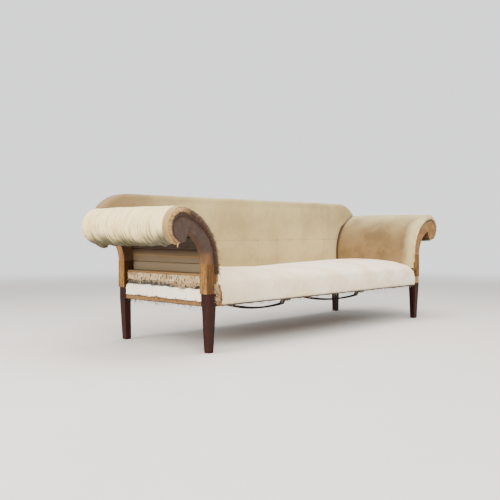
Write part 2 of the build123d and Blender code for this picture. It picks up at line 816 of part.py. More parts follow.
def arm_space():
    """The room that both arms take above the seat."""
    x0 = ARM_FACE_X - SOFT_GAP
    z0 = ARM_PAD_BOTTOM - SOFT_GAP
    right = block(x0, LONG_REACH, -LONG_REACH, LONG_REACH, z0, LONG_REACH)
    return right + mirrored_x(right)


def seat_side_lip():
    """Stuffing of the seat that rises from the right side rail below the arm."""
    floor = RAIL_TOP + SOFT_GAP
    top = TACK_RAIL_BOTTOM - SEAT_LAP_SPACE
    x_inner = X_IN - SEAT_HESSIAN_MARGIN
    ring = [
        (x_inner, 0, floor),
        (SIDE_RAIL_FACE, 0, floor),
        (SIDE_RAIL_FACE, 0, floor + SEAT_SIDE_LIP),
        (X_IN + SEAT_LAP_SPACE, 0, top),
        (x_inner, 0, top),
    ]
    edges = [Line(a, b) for a, b in zip(ring, ring[1:] + ring[:1])]
    return through(joined_face(edges), -Y_IN + SOFT_GAP, SEAT_REAR)


def seat_pad():
    """The stuffing of the seat, hollow below where the springs stand."""
    inset = COVER_THICK + SOFT_GAP
    x = X_IN - SEAT_HESSIAN_MARGIN
    y1 = SEAT_REAR - SEAT_HESSIAN_MARGIN / 2 + SOFT_GAP
    well = block(-x, x, FRONT_RAIL_INNER, y1, 0, SEAT_HESSIAN_TOP + SOFT_GAP)
    lip = seat_side_lip()
    pad = seat_solid(inset) - arm_space()
    return pad + lip + mirrored_x(lip) - well


def seat_cover():
    """The calico over the top and front of the seat."""
    shell = seat_solid(0) - seat_solid(COVER_THICK)
    lip = seat_side_lip()
    return shell - arm_space() - lip - mirrored_x(lip)


def calico_flap():
    """The calico brought down over the right side rail and tacked."""
    x0 = SIDE_RAIL_FACE + WEB_LAP
    y = Y_IN - SEAT_LAP_SPACE
    return block(x0, x0 + FLAP_THICK, -y, y, FLAP_BOTTOM, RAIL_TOP)


def leaned(shape):
    """A piece of the upright back turned about the front of its foot."""
    there = Pos(0, BACK_FACE, RAIL_TOP)
    back_again = Pos(0, -BACK_FACE, -RAIL_TOP)
    return there * Rot(-BACK_LEAN, 0, 0) * back_again * shape


def above_rail(shape):
    """A leaned piece cut level where it stands on the rear rail."""
    lowest = block(-LONG_REACH, LONG_REACH, -LONG_REACH, LONG_REACH, -LONG_REACH, RAIL_TOP)
    return shape - lowest


def top_outline(inset):
    """The crest of the back with its rounded corners, drawn in by an inset."""
    centre = (BACK_CORNER_X, BACK_TOP - BACK_CORNER_RADIUS)
    radius = BACK_CORNER_RADIUS - inset
    rise = TOP_RAIL_BOTTOM - centre[1]
    start = degrees(atan2(rise, sqrt(radius**2 - rise**2)))
    right = arc(centre, radius, start, 90)
    left = arc((-BACK_CORNER_X, centre[1]), radius, 90, 180 - start)
    return joined_face(closed_by_lines([right, left]))


def back_tenon(x):
    """Limits of the tenon of an upright in the top rail."""
    half = BACK_TENON_WIDTH / 2
    y0 = BACK_FACE + (BACK_FRAME_THICK - TENON_THICK) / 2
    z1 = TOP_RAIL_BOTTOM + BACK_TENON_LENGTH
    return (x - half, x + half, y0, y0 + TENON_THICK, TOP_RAIL_BOTTOM, z1)


def upright_places():
    """The middles of the uprights that are tenoned into the top rail."""
    post = (BACK_POST_IN + BACK_POST_OUT) / 2
    return [-post, -MUNTIN_X, MUNTIN_X, post]


def back_top_rail():
    """The top rail of the back, mortised for its uprights."""
    rail = through(top_outline(BACK_CAP), BACK_FACE, BACK_REAR)
    for x in upright_places():
        x0, x1, y0, y1, z0, z1 = grown(back_tenon(x), FIT)
        rail -= block(x0, x1, y0, y1, z0, z1 + TENON_END_ROOM)
    return leaned(rail)


def stuff_tenon():
    """Limits of the tenon of the stuffing rail in the right back post."""
    y0 = BACK_FACE + (BACK_FRAME_THICK - TENON_THICK) / 2
    z0 = STUFF_RAIL_BOTTOM + (STUFF_RAIL_HEIGHT - BACK_TENON_WIDTH) / 2
    x1 = BACK_POST_IN + BACK_TENON_LENGTH
    return (BACK_POST_IN, x1, y0, y0 + TENON_THICK, z0, z0 + BACK_TENON_WIDTH)


def back_post():
    """The right upright of the back, standing on the rear rail."""
    foot = RAIL_TOP - BACK_FRAME_THICK
    post = block(BACK_POST_IN, BACK_POST_OUT, BACK_FACE, BACK_REAR, foot, TOP_RAIL_BOTTOM)
    post += block(*back_tenon(upright_places()[-1]))
    x0, x1, y0, y1, z0, z1 = grown(stuff_tenon(), FIT)
    post -= block(x0, x1 + TENON_END_ROOM, y0, y1, z0, z1)
    return above_rail(leaned(post))


def back_stuffing_rail():
    """The low rail of the back between the two posts."""
    limits = (-BACK_POST_IN, BACK_POST_IN, BACK_FACE, BACK_REAR)
    rail = block(*limits, STUFF_RAIL_BOTTOM, STUFF_RAIL_TOP)
    tenon = block(*stuff_tenon())
    return leaned(rail + tenon + mirrored_x(tenon))


def back_muntin():
    """The right inner upright of the back."""
    half = MUNTIN_WIDTH / 2
    limits = (MUNTIN_X - half, MUNTIN_X + half, BACK_FACE, BACK_REAR)
    bar = block(*limits, STUFF_RAIL_TOP, TOP_RAIL_BOTTOM)
    return leaned(bar + block(*back_tenon(MUNTIN_X)))


def wing_board():
    """The board that fills the back between the right post and the arm."""
    radius = ARM_RADIUS + WING_GAP
    rise = WING_BOTTOM - POST_TOP
    reach = WING_OUT - ARM_CENTRE[0]
    low_angle = degrees(atan2(rise, -sqrt(radius**2 - rise**2)))
    high_angle = degrees(atan2(sqrt(radius**2 - reach**2), reach))
    side = arc(ARM_CENTRE, radius, low_angle, high_angle)
    end = Line(side @ 1, (WING_OUT, 0, TOP_RAIL_BOTTOM))
    inner = Line((BACK_POST_OUT, 0, TOP_RAIL_BOTTOM), (BACK_POST_OUT, 0, WING_BOTTOM))
    face = joined_face(closed_by_lines([side, end, inner]))
    return leaned(through(face, BACK_FACE, BACK_REAR))


def back_webs():
    """Webs strained from the stuffing rail up to the top rail."""
    first = -(BACK_WEB_COUNT - 1) / 2
    half = WEB_WIDTH / 2
    y0 = BACK_FACE - WEB_THICK - WEB_LAP
    z0 = STUFF_RAIL_TOP - BACK_WEB_LAP
    z1 = TOP_RAIL_BOTTOM + BACK_WEB_LAP
    webs = []
    for number in range(BACK_WEB_COUNT):
        x = (first + number) * BACK_WEB_PITCH
        webs.append(leaned(block(x - half, x + half, y0, y0 + WEB_THICK, z0, z1)))
    return webs


def back_hessian():
    """The hessian over the webs of the back."""
    y1 = BACK_FACE - WEB_THICK - 2 * WEB_LAP
    z0 = STUFF_RAIL_TOP - BACK_WEB_LAP
    z1 = TOP_RAIL_BOTTOM + BACK_WEB_LAP
    return leaned(block(-BACK_POST_OUT, BACK_POST_OUT, y1 - HESSIAN_THICK, y1, z0, z1))


def back_side_meeting(inset):
    """Where the side of the back, along the arm, meets the rounded corner."""
    arm_radius = ARM_RADIUS + BACK_PAD_SIDE_GAP + inset
    corner = (BACK_CORNER_X, BACK_TOP - BACK_CORNER_RADIUS)
    corner_radius = BACK_CORNER_RADIUS - inset
    dx = corner[0] - ARM_CENTRE[0]
    dz = corner[1] - ARM_CENTRE[1]
    apart = hypot(dx, dz)
    along = (arm_radius**2 - corner_radius**2 + apart**2) / (2 * apart)
    off = sqrt(arm_radius**2 - along**2)
    x = ARM_CENTRE[0] + (along * dx + off * dz) / apart
    z = ARM_CENTRE[1] + (along * dz - off * dx) / apart
    arm_angle = degrees(atan2(z - ARM_CENTRE[1], x - ARM_CENTRE[0]))
    corner_angle = degrees(atan2(z - corner[1], x - corner[0]))
    return arm_radius, arm_angle, corner_radius, corner_angle


def back_outline(inset):
    """The inside back between the arms, drawn in by an inset."""
    arm_radius, arm_angle, corner_radius, corner_angle = back_side_meeting(inset)
    corner_z = BACK_TOP - BACK_CORNER_RADIUS
    x_side = ARM_CENTRE[0] - arm_radius
    left_centre = (-ARM_CENTRE[0], ARM_CENTRE[1])
    edges = [
        Line((x_side, 0, BACK_PAD_BOTTOM), (x_side, 0, POST_TOP)),
        arc(ARM_CENTRE, arm_radius, 180, arm_angle),
        arc((BACK_CORNER_X, corner_z), corner_radius, corner_angle, 90),
        Line((BACK_CORNER_X, 0, BACK_TOP - inset), (-BACK_CORNER_X, 0, BACK_TOP - inset)),
        arc((-BACK_CORNER_X, corner_z), corner_radius, 90, 180 - corner_angle),
        arc(left_centre, arm_radius, 180 - arm_angle, 0),
        Line((-x_side, 0, POST_TOP), (-x_side, 0, BACK_PAD_BOTTOM)),
        Line((-x_side, 0, BACK_PAD_BOTTOM), (x_side, 0, BACK_PAD_BOTTOM)),
    ]
    return joined_face(edges)


def back_slab(inset):
    """The upright stuffed back in front of the frame, rounded off to its face."""
    face_y = BACK_PAD_FACE + inset
    places = [
        (BACK_PAD_REAR, 0),
        (face_y + BACK_ROUND_DEPTH / 2, BACK_ROUND_FIRST),
        (face_y, BACK_ROUND_INSET),
    ]
    return loft([Pos(0, y, 0) * back_outline(inset + more) for y, more in places], ruled=True)


def back_crest(inset, y1):
    """The layer of the back that is carried over the top rail."""
    outer = through(top_outline(inset), BACK_PAD_REAR, y1)
    return outer - through(top_outline(BACK_CAP - SOFT_GAP), BACK_PAD_REAR, y1)


def back_pad():
    """The stuffing of the back, carried over the top rail."""
    inset = COVER_THICK + SOFT_GAP
    return leaned(back_slab(inset) + back_crest(inset, BACK_REAR))


def back_cover():
    """The lining over the stuffing of the back and its crest."""
    slab = back_slab(0) - back_slab(COVER_THICK)
    y1 = BACK_REAR + BACK_WRAP
    crest = through(top_outline(0), BACK_PAD_REAR, y1)
    crest -= through(top_outline(COVER_THICK), BACK_PAD_REAR, y1)
    return leaned(slab + crest)


def solids_of(piece):
    """All the solids of a piece, whether it is one shape or a list of them."""
    shapes = piece if isinstance(piece, list) else [piece]
    return [solid for shape in shapes for solid in shape.solids()]


def save(name, piece):
    """Write one named piece about the origin of the sofa."""
    placed = [ORIGIN_SHIFT * solid for solid in solids_of(piece)]
    shape = placed[0] if len(placed) == 1 else Compound(children=placed)
    export_step(shape, os.path.join("parts", name + ".step"))


def save_pair(name, right_piece):
    """Write a right hand piece and its twin on the left."""
    solids = solids_of(right_piece)
    save(name + "_right", solids)
    save(name + "_left", [mirrored_x(solid) for solid in solids])


def save_timber():
    """Write the frame of the seat and the arms."""
    front_leg = leg(FRONT_RAIL_FACE, FRONT_HEAD_SIDE, FRONT_FOOT_SIDE)
    rear_leg = mirrored_y(leg(-REAR_RAIL_FACE, REAR_HEAD_SIDE, REAR_FOOT_SIDE))
    save_pair("front_leg", front_leg)
    save_pair("rear_leg", rear_leg)
    save("front_seat_rail", pierced_for_irons(long_rail(FRONT_RAIL_FACE, 1)))
    save("rear_seat_rail", pierced_for_irons(long_rail(REAR_RAIL_FACE, -1)))
    save_pair("side_seat_rail", side_rail())
    save("corner_blocks", corner_blocks())
    save_pair("front_scroll_board", scroll_board())
    save_pair("rear_scroll_board", mirrored_y(scroll_board()))
    save("scroll_tenons", loose_tenons())
    save_pair("arm_top_rail", arm_top_rail())
    save_pair("arm_nose_rail", arm_nose_rail())
    save_pair("arm_tacking_rail", arm_tacking_rail())
    save_pair("arm_slats", arm_slats())


def save_back_frame():
    """Write the frame of the back."""
    save("back_top_rail", back_top_rail())
    save_pair("back_post", back_post())
    save("back_stuffing_rail", back_stuffing_rail())
    save_pair("back_muntin", back_muntin())
    save_pair("back_wing_board", wing_board())


def save_seat_works():
    """Write the irons, webs, springs and hessian."""
    save("iron_stretcher_left", iron_stretcher(IRON_LEFT_X))
    save("iron_stretcher_right", iron_stretcher(IRON_RIGHT_X))
    save("stretcher_nails", stretcher_nails())
    save("seat_cross_webs", seat_cross_webs())
    save("seat_long_webs", seat_long_webs())
    save("seat_springs", seat_springs())
    save("seat_hessian", seat_hessian())
    save("back_webs", back_webs())
    save("back_hessian", back_hessian())


def save_upholstery():
    """Write the stuffing and linings."""
    save("seat_pad", seat_pad())
    save("seat_cover", seat_cover())
    save_pair("calico_flap", calico_flap())
    save_pair("arm_pad", arm_pad())
    save_pair("arm_cover", arm_cover())
    save("back_pad", back_pad())
    save("back_cover", back_cover())


os.makedirs("parts", exist_ok=True)
save_timber()
save_back_frame()
save_seat_works()
save_upholstery()
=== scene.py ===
# %% [markdown]
# # A scroll arm sofa, stripped to its first stuffing
#
# The sofa has lost its outside covers. What is left is a polished leg frame with bare posts above it, two
# scroll arms, and stuffing held down by plain calico and linen. The timber and the iron come from the solid
# model as they are. The cloth, stuffing, webs and springs are worked out here, because soft things sag,
# crease and fray in ways that a solid model does not show.

# %% Load the frame
import math
import bpy
import bmesh
import numpy as np
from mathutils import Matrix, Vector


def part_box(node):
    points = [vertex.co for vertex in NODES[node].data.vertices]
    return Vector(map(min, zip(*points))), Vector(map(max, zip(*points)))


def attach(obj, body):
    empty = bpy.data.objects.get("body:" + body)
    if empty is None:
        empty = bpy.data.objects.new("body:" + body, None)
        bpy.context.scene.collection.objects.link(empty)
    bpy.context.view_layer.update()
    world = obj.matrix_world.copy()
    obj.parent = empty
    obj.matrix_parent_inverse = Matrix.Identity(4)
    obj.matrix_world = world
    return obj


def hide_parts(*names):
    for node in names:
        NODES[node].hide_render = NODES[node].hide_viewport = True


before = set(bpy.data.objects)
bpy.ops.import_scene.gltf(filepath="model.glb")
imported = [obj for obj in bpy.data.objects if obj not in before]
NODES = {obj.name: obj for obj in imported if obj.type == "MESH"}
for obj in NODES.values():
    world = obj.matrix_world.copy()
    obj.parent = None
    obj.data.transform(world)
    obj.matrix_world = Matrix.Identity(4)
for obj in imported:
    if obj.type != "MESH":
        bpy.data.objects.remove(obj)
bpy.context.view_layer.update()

# %% [markdown]
# ## Places read from the solids
#
# Every soft piece sits on timber, so its place is read from the timber. The legs give the inner face of the
# arm and the middle of the depth, and the scroll boards give the nose of the scroll. Only the fullness of
# the stuffing is written here as numbers.


# %% Places on the frame
def corners(node):
    """Lowest and highest corner of a node of the solid model, as two arrays."""
    low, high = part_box(node)
    return np.array(low), np.array(high)


LEG_LOW, LEG_HIGH = corners("front_leg_right")
REAR_LEG_LOW, REAR_LEG_HIGH = corners("rear_leg_right")
BOARD_LOW, BOARD_HIGH = corners("front_scroll_board_right")
REAR_BOARD_HIGH = corners("rear_scroll_board_right")[1]
SEAT_LOW, SEAT_HIGH = corners("seat_cover")
RAIL_LOW, RAIL_HIGH = corners("front_seat_rail")
STRIP_LOW, STRIP_HIGH = corners("arm_tacking_rail_right")
CLEAR_FRONT, CLEAR_REAR = LEG_HIGH[1] + 0.001, REAR_LEG_LOW[1] - 0.001
MIDDLE_Y = (LEG_LOW[1] + REAR_LEG_HIGH[1]) / 2
POST_X, POST_TOP = LEG_LOW[0], BOARD_LOW[2]
NOSE_R = 0.062
NOSE_X, NOSE_Z = BOARD_HIGH[0] - NOSE_R, BOARD_HIGH[2] - NOSE_R
FACE_Y, REAR_Y = BOARD_LOW[1], REAR_BOARD_HIGH[1]
POLISH_Z = 0.283
print("post", POST_X, POST_TOP, "nose", NOSE_X, NOSE_Z, "faces", FACE_Y, REAR_Y, "middle", MIDDLE_Y)

# %% [markdown]
# ## Camera, floor and light
#
# The camera stands low in front of the left arm, level, so that the legs stay upright in the picture. A
# small vertical shift frames the sofa without tilting. The floor is a pale disc that fades out, so no
# horizon shows from any side. Three large soft, slightly warm lamps and a white sky give plain studio
# light.


# %% Camera
def add_object(name, data):
    """Links a new object with this data into the scene and returns it."""
    made = bpy.data.objects.new(name, data)
    bpy.context.scene.collection.objects.link(made)
    return made


lens = bpy.data.cameras.new("photo_camera")
lens.sensor_width, lens.lens, lens.shift_y = 36.0, 50.4, -0.036
camera = add_object("photo_camera", lens)
camera.location = (-3.2455, -2.7703, 0.579)
camera.rotation_euler = (math.radians(90), 0, math.radians(-46.65))
bpy.context.scene.camera = camera
print("camera", tuple(camera.location))

# %% [markdown]
# ## Helpers for materials
#
# A material in Blender is a tree of nodes, and every sum or product in it is a node of its own. A long tree
# of sums is hard to read as code. So a number in a tree is wrapped here in a small class whose arithmetic
# adds those nodes. A stain that grows with height is then one formula, ease(height, 0.2, 0.3) * 0.5.


# %% Numbers in a shader tree
class Value:
    """A number in a shader tree; arithmetic on it adds Math nodes to that tree."""

    __array_ufunc__ = None

    def __init__(self, socket):
        self.socket = socket

    def __add__(self, other):
        return calc("ADD", self, other)

    def __sub__(self, other):
        return calc("SUBTRACT", self, other)

    def __rsub__(self, other):
        return calc("SUBTRACT", other, self)

    def __mul__(self, other):
        return calc("MULTIPLY", self, other)

    def __truediv__(self, other):
        return calc("DIVIDE", self, other)

    def __rtruediv__(self, other):
        return calc("DIVIDE", other, self)

    def __lt__(self, other):
        return calc("LESS_THAN", self, other)

    def __gt__(self, other):
        return calc("GREATER_THAN", self, other)

    def __abs__(self):
        return calc("ABSOLUTE", self)

    __radd__, __rmul__ = __add__, __mul__


def bare(value):
    """The socket inside a Value, or any other value as it is."""
    return value.socket if isinstance(value, Value) else value


def link(value, socket):
    """Joins an output to an input socket, or sets the socket to a plain value."""
    value = bare(value)
    if isinstance(value, bpy.types.NodeSocket):
        socket.id_data.links.new(value, socket)
    else:
        socket.default_value = value


def add(kind, inputs=None, tree=None, **settings):
    """A shader node with its settings and inputs, in the tree of the first output among those inputs."""
    sockets = [bare(value) for value in (inputs or {}).values()]
    tree = tree or next(value.id_data for value in sockets if isinstance(value, bpy.types.NodeSocket))
    made = tree.nodes.new("ShaderNode" + kind)
    for key, value in settings.items():
        setattr(made, key, value)
    for key, value in (inputs or {}).items():
        link(value, made.inputs[key])
    return made


def calc(operation, *values):
    """One step of arithmetic on numbers or outputs."""
    return Value(add("Math", dict(enumerate(values)), operation=operation).outputs[0])


# %% Helpers for shader trees
def rgb(red, green, blue):
    """A colour given as 0 to 255 screen values, as the linear values that the shader needs."""
    screen = np.array([red, green, blue]) / 255
    linear = np.where(screen <= 0.04045, screen / 12.92, ((screen + 0.055) / 1.055) ** 2.4)
    return (*(float(v) for v in linear), 1.0)


def mix(factor, first, second, mode="MIX"):
    """Blend of two colours by a factor."""
    return add("Mix", {0: factor, 6: first, 7: second}, data_type="RGBA", blend_type=mode).outputs[2]


def ease(value, low, high):
    """0 below low, 1 above high and a smooth S between them."""
    return Value(add("MapRange", {0: value, 1: low, 2: high}, interpolation_type="SMOOTHSTEP").outputs[0])


def noise(vector, scale, detail=3.0, rough=0.55):
    """Cloud-like noise between 0 and 1."""
    inputs = {"Vector": vector, "Scale": scale, "Detail": detail, "Roughness": rough}
    return Value(add("TexNoise", inputs).outputs[0])


def stretch(vector, factors):
    """The vector with each part multiplied by its factor."""
    return add("VectorMath", {0: vector, 1: factors}, operation="MULTIPLY").outputs[0]


def split(vector):
    """The x, y and z of a vector."""
    return [Value(part) for part in add("SeparateXYZ", {0: vector}).outputs]


def start_material(name):
    """A new material with its shader and its texture coordinates."""
    made = bpy.data.materials.new(name)
    made.use_nodes = True
    coords = add("TexCoord", tree=made.node_tree).outputs
    return made, made.node_tree.nodes["Principled BSDF"], coords


# %% Floor and light
def faded_floor(radius=9.0, sides=96):
    """A disc in the floor plane: the points at angle a are (r cos a, r sin a, 0)."""
    turn = np.linspace(0, 2 * np.pi, sides, endpoint=False)
    points = np.stack([radius * np.cos(turn), radius * np.sin(turn), 0 * turn], axis=1)
    mesh = bpy.data.meshes.new("floor")
    mesh.from_pydata(points.tolist(), [], [list(range(sides))])
    return add_object("floor", mesh)


def floor_material():
    """Pale matt floor, fading to nothing between 3 and 7 metres from the sofa."""
    made, shader, coords = start_material("pale_floor")
    far = add("VectorMath", {0: coords["Object"]}, operation="LENGTH").outputs["Value"]
    tone = mix(noise(coords["Object"], 3.0), rgb(214, 209, 202), rgb(221, 217, 211))
    link(tone, shader.inputs["Base Color"])
    link(1 - ease(far, 3.0, 7.0), shader.inputs["Alpha"])
    link(0.7, shader.inputs["Roughness"])
    return made


def soft_lamp(name, place, target, size, power):
    """A square area lamp at a place, turned to face a target."""
    data = bpy.data.lights.new(name, "AREA")
    data.size, data.energy, data.color = size, power, (1.0, 0.96, 0.90)
    made = add_object(name, data)
    made.location = place
    way = np.array(target) - np.array(place)
    flat = math.hypot(way[0], way[1])
    made.rotation_euler = (math.atan2(flat, -way[2]), 0, math.atan2(-way[0], way[1]))


floor = faded_floor()
floor.data.materials.append(floor_material())
world = bpy.context.scene.world or bpy.data.worlds.new("studio")
bpy.context.scene.world = world
world.use_nodes = True
sky = world.node_tree.nodes["Background"].inputs
link((0.93, 0.94, 0.95, 1), sky["Color"])
seen = Value(add("LightPath", tree=world.node_tree).outputs["Is Camera Ray"])
link(seen * 0.75 + 0.85, sky["Strength"])
soft_lamp("key_lamp", (-2.6, -3.0, 3.4), (0, 0, 0.4), size=2.6, power=270)
soft_lamp("top_lamp", (0.6, -0.2, 3.6), (0, 0, 0.3), size=3.0, power=190)
soft_lamp("left_lamp", (-4.2, 0.4, 2.0), (-0.6, 0, 0.4), size=2.0, power=190)

# %% [markdown]
# ## Shared surface effects
#
# Cloth, old timber and iron share a few effects: the over and under of a plain weave, soft stains, the
# lines of timber grain and the pricks that old tacks leave. Each one is a node group with named inputs and
# outputs, so that every material uses the same effect with its own values.


# %% Group maker
def new_group(name, inputs, outputs):
    """An empty shader group that takes a vector and named numbers: its inputs, and its output sockets."""
    group = bpy.data.node_groups.new(name, "ShaderNodeTree")
    group.interface.new_socket("Vector", in_out="INPUT", socket_type="NodeSocketVector")
    for label, start in inputs.items():
        made = group.interface.new_socket(label, in_out="INPUT", socket_type="NodeSocketFloat")
        made.default_value = start
    for label in outputs:
        group.interface.new_socket(label, in_out="OUTPUT", socket_type="NodeSocketFloat")
    enter = {out.name: Value(out) for out in group.nodes.new("NodeGroupInput").outputs}
    return group, enter, group.nodes.new("NodeGroupOutput").inputs


def use(group, inputs):
    """One use of a group in a material: its outputs by name."""
    return {out.name: Value(out) for out in add("Group", inputs, node_tree=group).outputs}


# %% Weave
def plain_weave():
    """Threads at a pitch: |sin(pi u)| and |sin(pi v)| by turns, as on a chequer, with slubs in some."""
    group, enter, leave = new_group("plain_weave", {"Pitch": 0.001}, ["Height", "Slub"])
    per_metre = 1 / enter["Pitch"]
    scaled = add("VectorMath", {0: enter["Vector"], "Scale": per_metre}, operation="SCALE").outputs[0]
    parts = split(scaled)
    waves = [abs(calc("SINE", part * math.pi)) for part in parts[:2]]
    over = calc("FLOORED_MODULO", calc("FLOOR", parts[0]) + calc("FLOOR", parts[1]), 2.0)
    link((waves[1] - waves[0]) * over + waves[0], leave["Height"])
    warp = noise(stretch(scaled, (0.9, 0.03, 0.5)), 1.0, 2.0)
    weft = noise(stretch(scaled, (0.03, 0.9, 0.5)), 1.0, 2.0)
    link((warp + weft) * 0.5, leave["Slub"])
    return group


WEAVE = plain_weave()


# %% Stains
def old_stains():
    """Broad soft mottling, and small sharper spots where the broad noise is high."""
    group, enter, leave = new_group("old_stains", {"Size": 0.2}, ["Mottle", "Spots"])
    scale = 1 / enter["Size"]
    broad = noise(enter["Vector"], scale, 5.0, 0.6)
    link(ease(broad, 0.36, 0.68), leave["Mottle"])
    fine = noise(enter["Vector"], scale * 9.0, 3.0)
    link(ease(fine, 0.62, 0.74) * broad, leave["Spots"])
    return group


STAINS = old_stains()


# %% Timber grain
def timber_grain():
    """Growth lines and pores drawn out along X of the vector: noise squeezed across the grain."""
    group, enter, leave = new_group("timber_grain", {}, ["Tone", "Pores"])
    broad = noise(stretch(enter["Vector"], (1.6, 26.0, 26.0)), 1.0, 4.0, 0.6)
    lines = noise(stretch(enter["Vector"], (5.0, 150.0, 150.0)), 1.0, 3.0)
    link(ease(lines * 0.35 + broad * 0.65, 0.34, 0.66), leave["Tone"])
    pores = noise(stretch(enter["Vector"], (18.0, 620.0, 620.0)), 1.0, 2.0)
    link(ease(pores, 0.58, 0.72), leave["Pores"])
    return group


GRAIN = timber_grain()


# %% Tack pricks
def tack_pricks():
    """Dark round dots: a mask where the distance to the nearest point of a random pattern is small."""
    group, enter, leave = new_group("tack_pricks", {"Spacing": 0.012, "Size": 0.0016}, ["Mask"])
    cells = add("TexVoronoi", {"Vector": enter["Vector"], "Scale": 1 / enter["Spacing"]})
    near = cells.outputs["Distance"] * enter["Spacing"] / enter["Size"]
    link(1 - ease(near, 0.7, 1.3), leave["Mask"])
    return group


PRICKS = tack_pricks()
print("groups", [g.name for g in bpy.data.node_groups])

# %% [markdown]
# ## Materials
#
# A cloth is thread colour, dirt and weave; a timber is two tones of grain with darker pores. Each material
# starts from one of these two recipes. A short painting step on top adds what belongs to one piece only,
# such as the polish line on a leg or the dirty edge of a roll.


# %% Cloth recipe
def cloth(name, thread, soiled, pitch, patch, bump=0.35, paint=None):
    """Woven cloth: thread colour mottled with a soiled colour, darker slubs, and the weave as bump."""
    made, shader, coords = start_material(name)
    stains = use(STAINS, {"Vector": coords["Object"], "Size": patch})
    weave = use(WEAVE, {"Vector": coords["UV"], "Pitch": pitch})
    colour = mix(stains["Mottle"], thread, soiled)
    colour = mix(stains["Spots"] * 0.5, colour, soiled)
    if paint:
        colour = paint(coords, colour)
    shade = weave["Slub"] * 0.5 + 0.72
    dark = add("CombineColor", {0: shade, 1: shade, 2: shade}).outputs[0]
    link(mix(1.0, colour, dark, "MULTIPLY"), shader.inputs["Base Color"])
    link(weave["Slub"] * 0.1 + 0.87, shader.inputs["Roughness"])
    link(0.15, shader.inputs["Sheen Weight"])
    link(0.25, shader.inputs["Specular IOR Level"])
    height = noise(coords["UV"], 60.0, 4.0) * 1.5 + weave["Height"]
    bumped = add("Bump", {"Height": height, "Strength": bump, "Distance": pitch * 0.6})
    link(bumped.outputs[0], shader.inputs["Normal"])
    return made


# %% Timber recipe
def timber(name, pale, deep, along, rough=0.7, paint=None, pricks=None):
    """Timber with its grain along one axis; paint gives its own colour and roughness on top."""
    made, shader, coords = start_material(name)
    parts = split(coords["Object"])
    order = {"X": (0, 1, 2), "Y": (1, 2, 0), "Z": (2, 0, 1)}[along]
    turned = add("CombineXYZ", {i: parts[j] for i, j in enumerate(order)}).outputs[0]
    grain = use(GRAIN, {"Vector": turned})
    colour = mix(grain["Tone"], pale, deep)
    colour = mix(grain["Pores"] * 0.45, colour, rgb(40, 26, 18))
    finish = grain["Tone"] * 0.08 + rough
    if pricks:
        holes = use(PRICKS, {"Vector": coords["Object"], "Spacing": pricks[0], "Size": pricks[1]})
        colour = mix(holes["Mask"], colour, rgb(28, 18, 14))
    if paint:
        colour, finish = paint(coords, parts, colour, finish, shader)
    link(colour, shader.inputs["Base Color"])
    link(finish, shader.inputs["Roughness"])
    link(0.22, shader.inputs["Coat Roughness"])
    bumped = add("Bump", {"Height": grain["Pores"], "Strength": 0.25, "Distance": 0.0006}, invert=True)
    link(bumped.outputs[0], shader.inputs["Normal"])
    return made


# %% [markdown]
# ### Timber finishes
#
# Below the seat the posts are legs: dark mahogany, French polished. Above the polish line the same posts
# are raw and pricked by a century of tacks. The left scroll was stained dark and the right one was rubbed
# back to a tan, which is why the two faces differ. The boards inside the arm are offcuts, each of its own
# tone.


# %% Legs and posts
def polish_line(coords, parts, colour, finish, shader):
    """Polished below a wavering line, raw and pricked above; the right posts are bare lower and cracked. Raw
    faces that look forward get painted shade, strong on the left and rear posts and faint on the front right
    post.
    """
    right = parts[0] > 0.0
    line = right * -0.045 + (POLISH_Z - 0.005)
    waver = noise(coords["Object"], 60.0) * 0.010 + line
    raw = ease(parts[2] - waver, -0.0015, 0.0015)
    fibre = noise(stretch(coords["Object"], (170.0, 170.0, 12.0)), 1.0, 5.0, 0.65)
    bare_wood = mix(ease(fibre, 0.36, 0.64), rgb(152, 112, 62), rgb(94, 64, 34))
    blotch = ease(noise(coords["Object"], 34.0, 4.0, 0.6), 0.50, 0.70)
    bare_wood = mix(blotch * 0.6, bare_wood, rgb(84, 56, 30))
    holes = use(PRICKS, {"Vector": coords["Object"], "Spacing": 0.013, "Size": 0.0023})
    bare_wood = mix(holes["Mask"], bare_wood, rgb(26, 15, 9))
    # Painted shade: raw faces that look forward are darkened (the rubbed mask), strongly on the left posts,
    # and again on the rear posts.
    forward = split(coords["Normal"])[1] < -0.5
    rubbed = forward * (right * -0.63 + 0.78)
    bare_wood = mix(rubbed, bare_wood, mix(fibre, rgb(88, 62, 39), rgb(45, 29, 19)))
    rear = parts[1] > 0.0
    bare_wood = mix(forward * rear * 0.8, bare_wood, rgb(58, 34, 18))
    over = parts[2] - (waver + 0.046)
    bare_wood = mix((over < 0.0) * right * 0.6, bare_wood, rgb(164, 138, 92))
    crack = (1 - ease(abs(over), 0.0012, 0.0026)) * right
    bare_wood = mix(crack, bare_wood, rgb(30, 18, 12))
    link(raw * -0.06 + 0.06, shader.inputs["Coat Weight"])
    link(0.12, shader.inputs["Specular IOR Level"])
    return mix(raw, colour, bare_wood), raw * 0.38 + 0.42


LEG_TIMBER = timber("leg_mahogany", rgb(54, 18, 8), rgb(27, 9, 5), "Z", paint=polish_line)


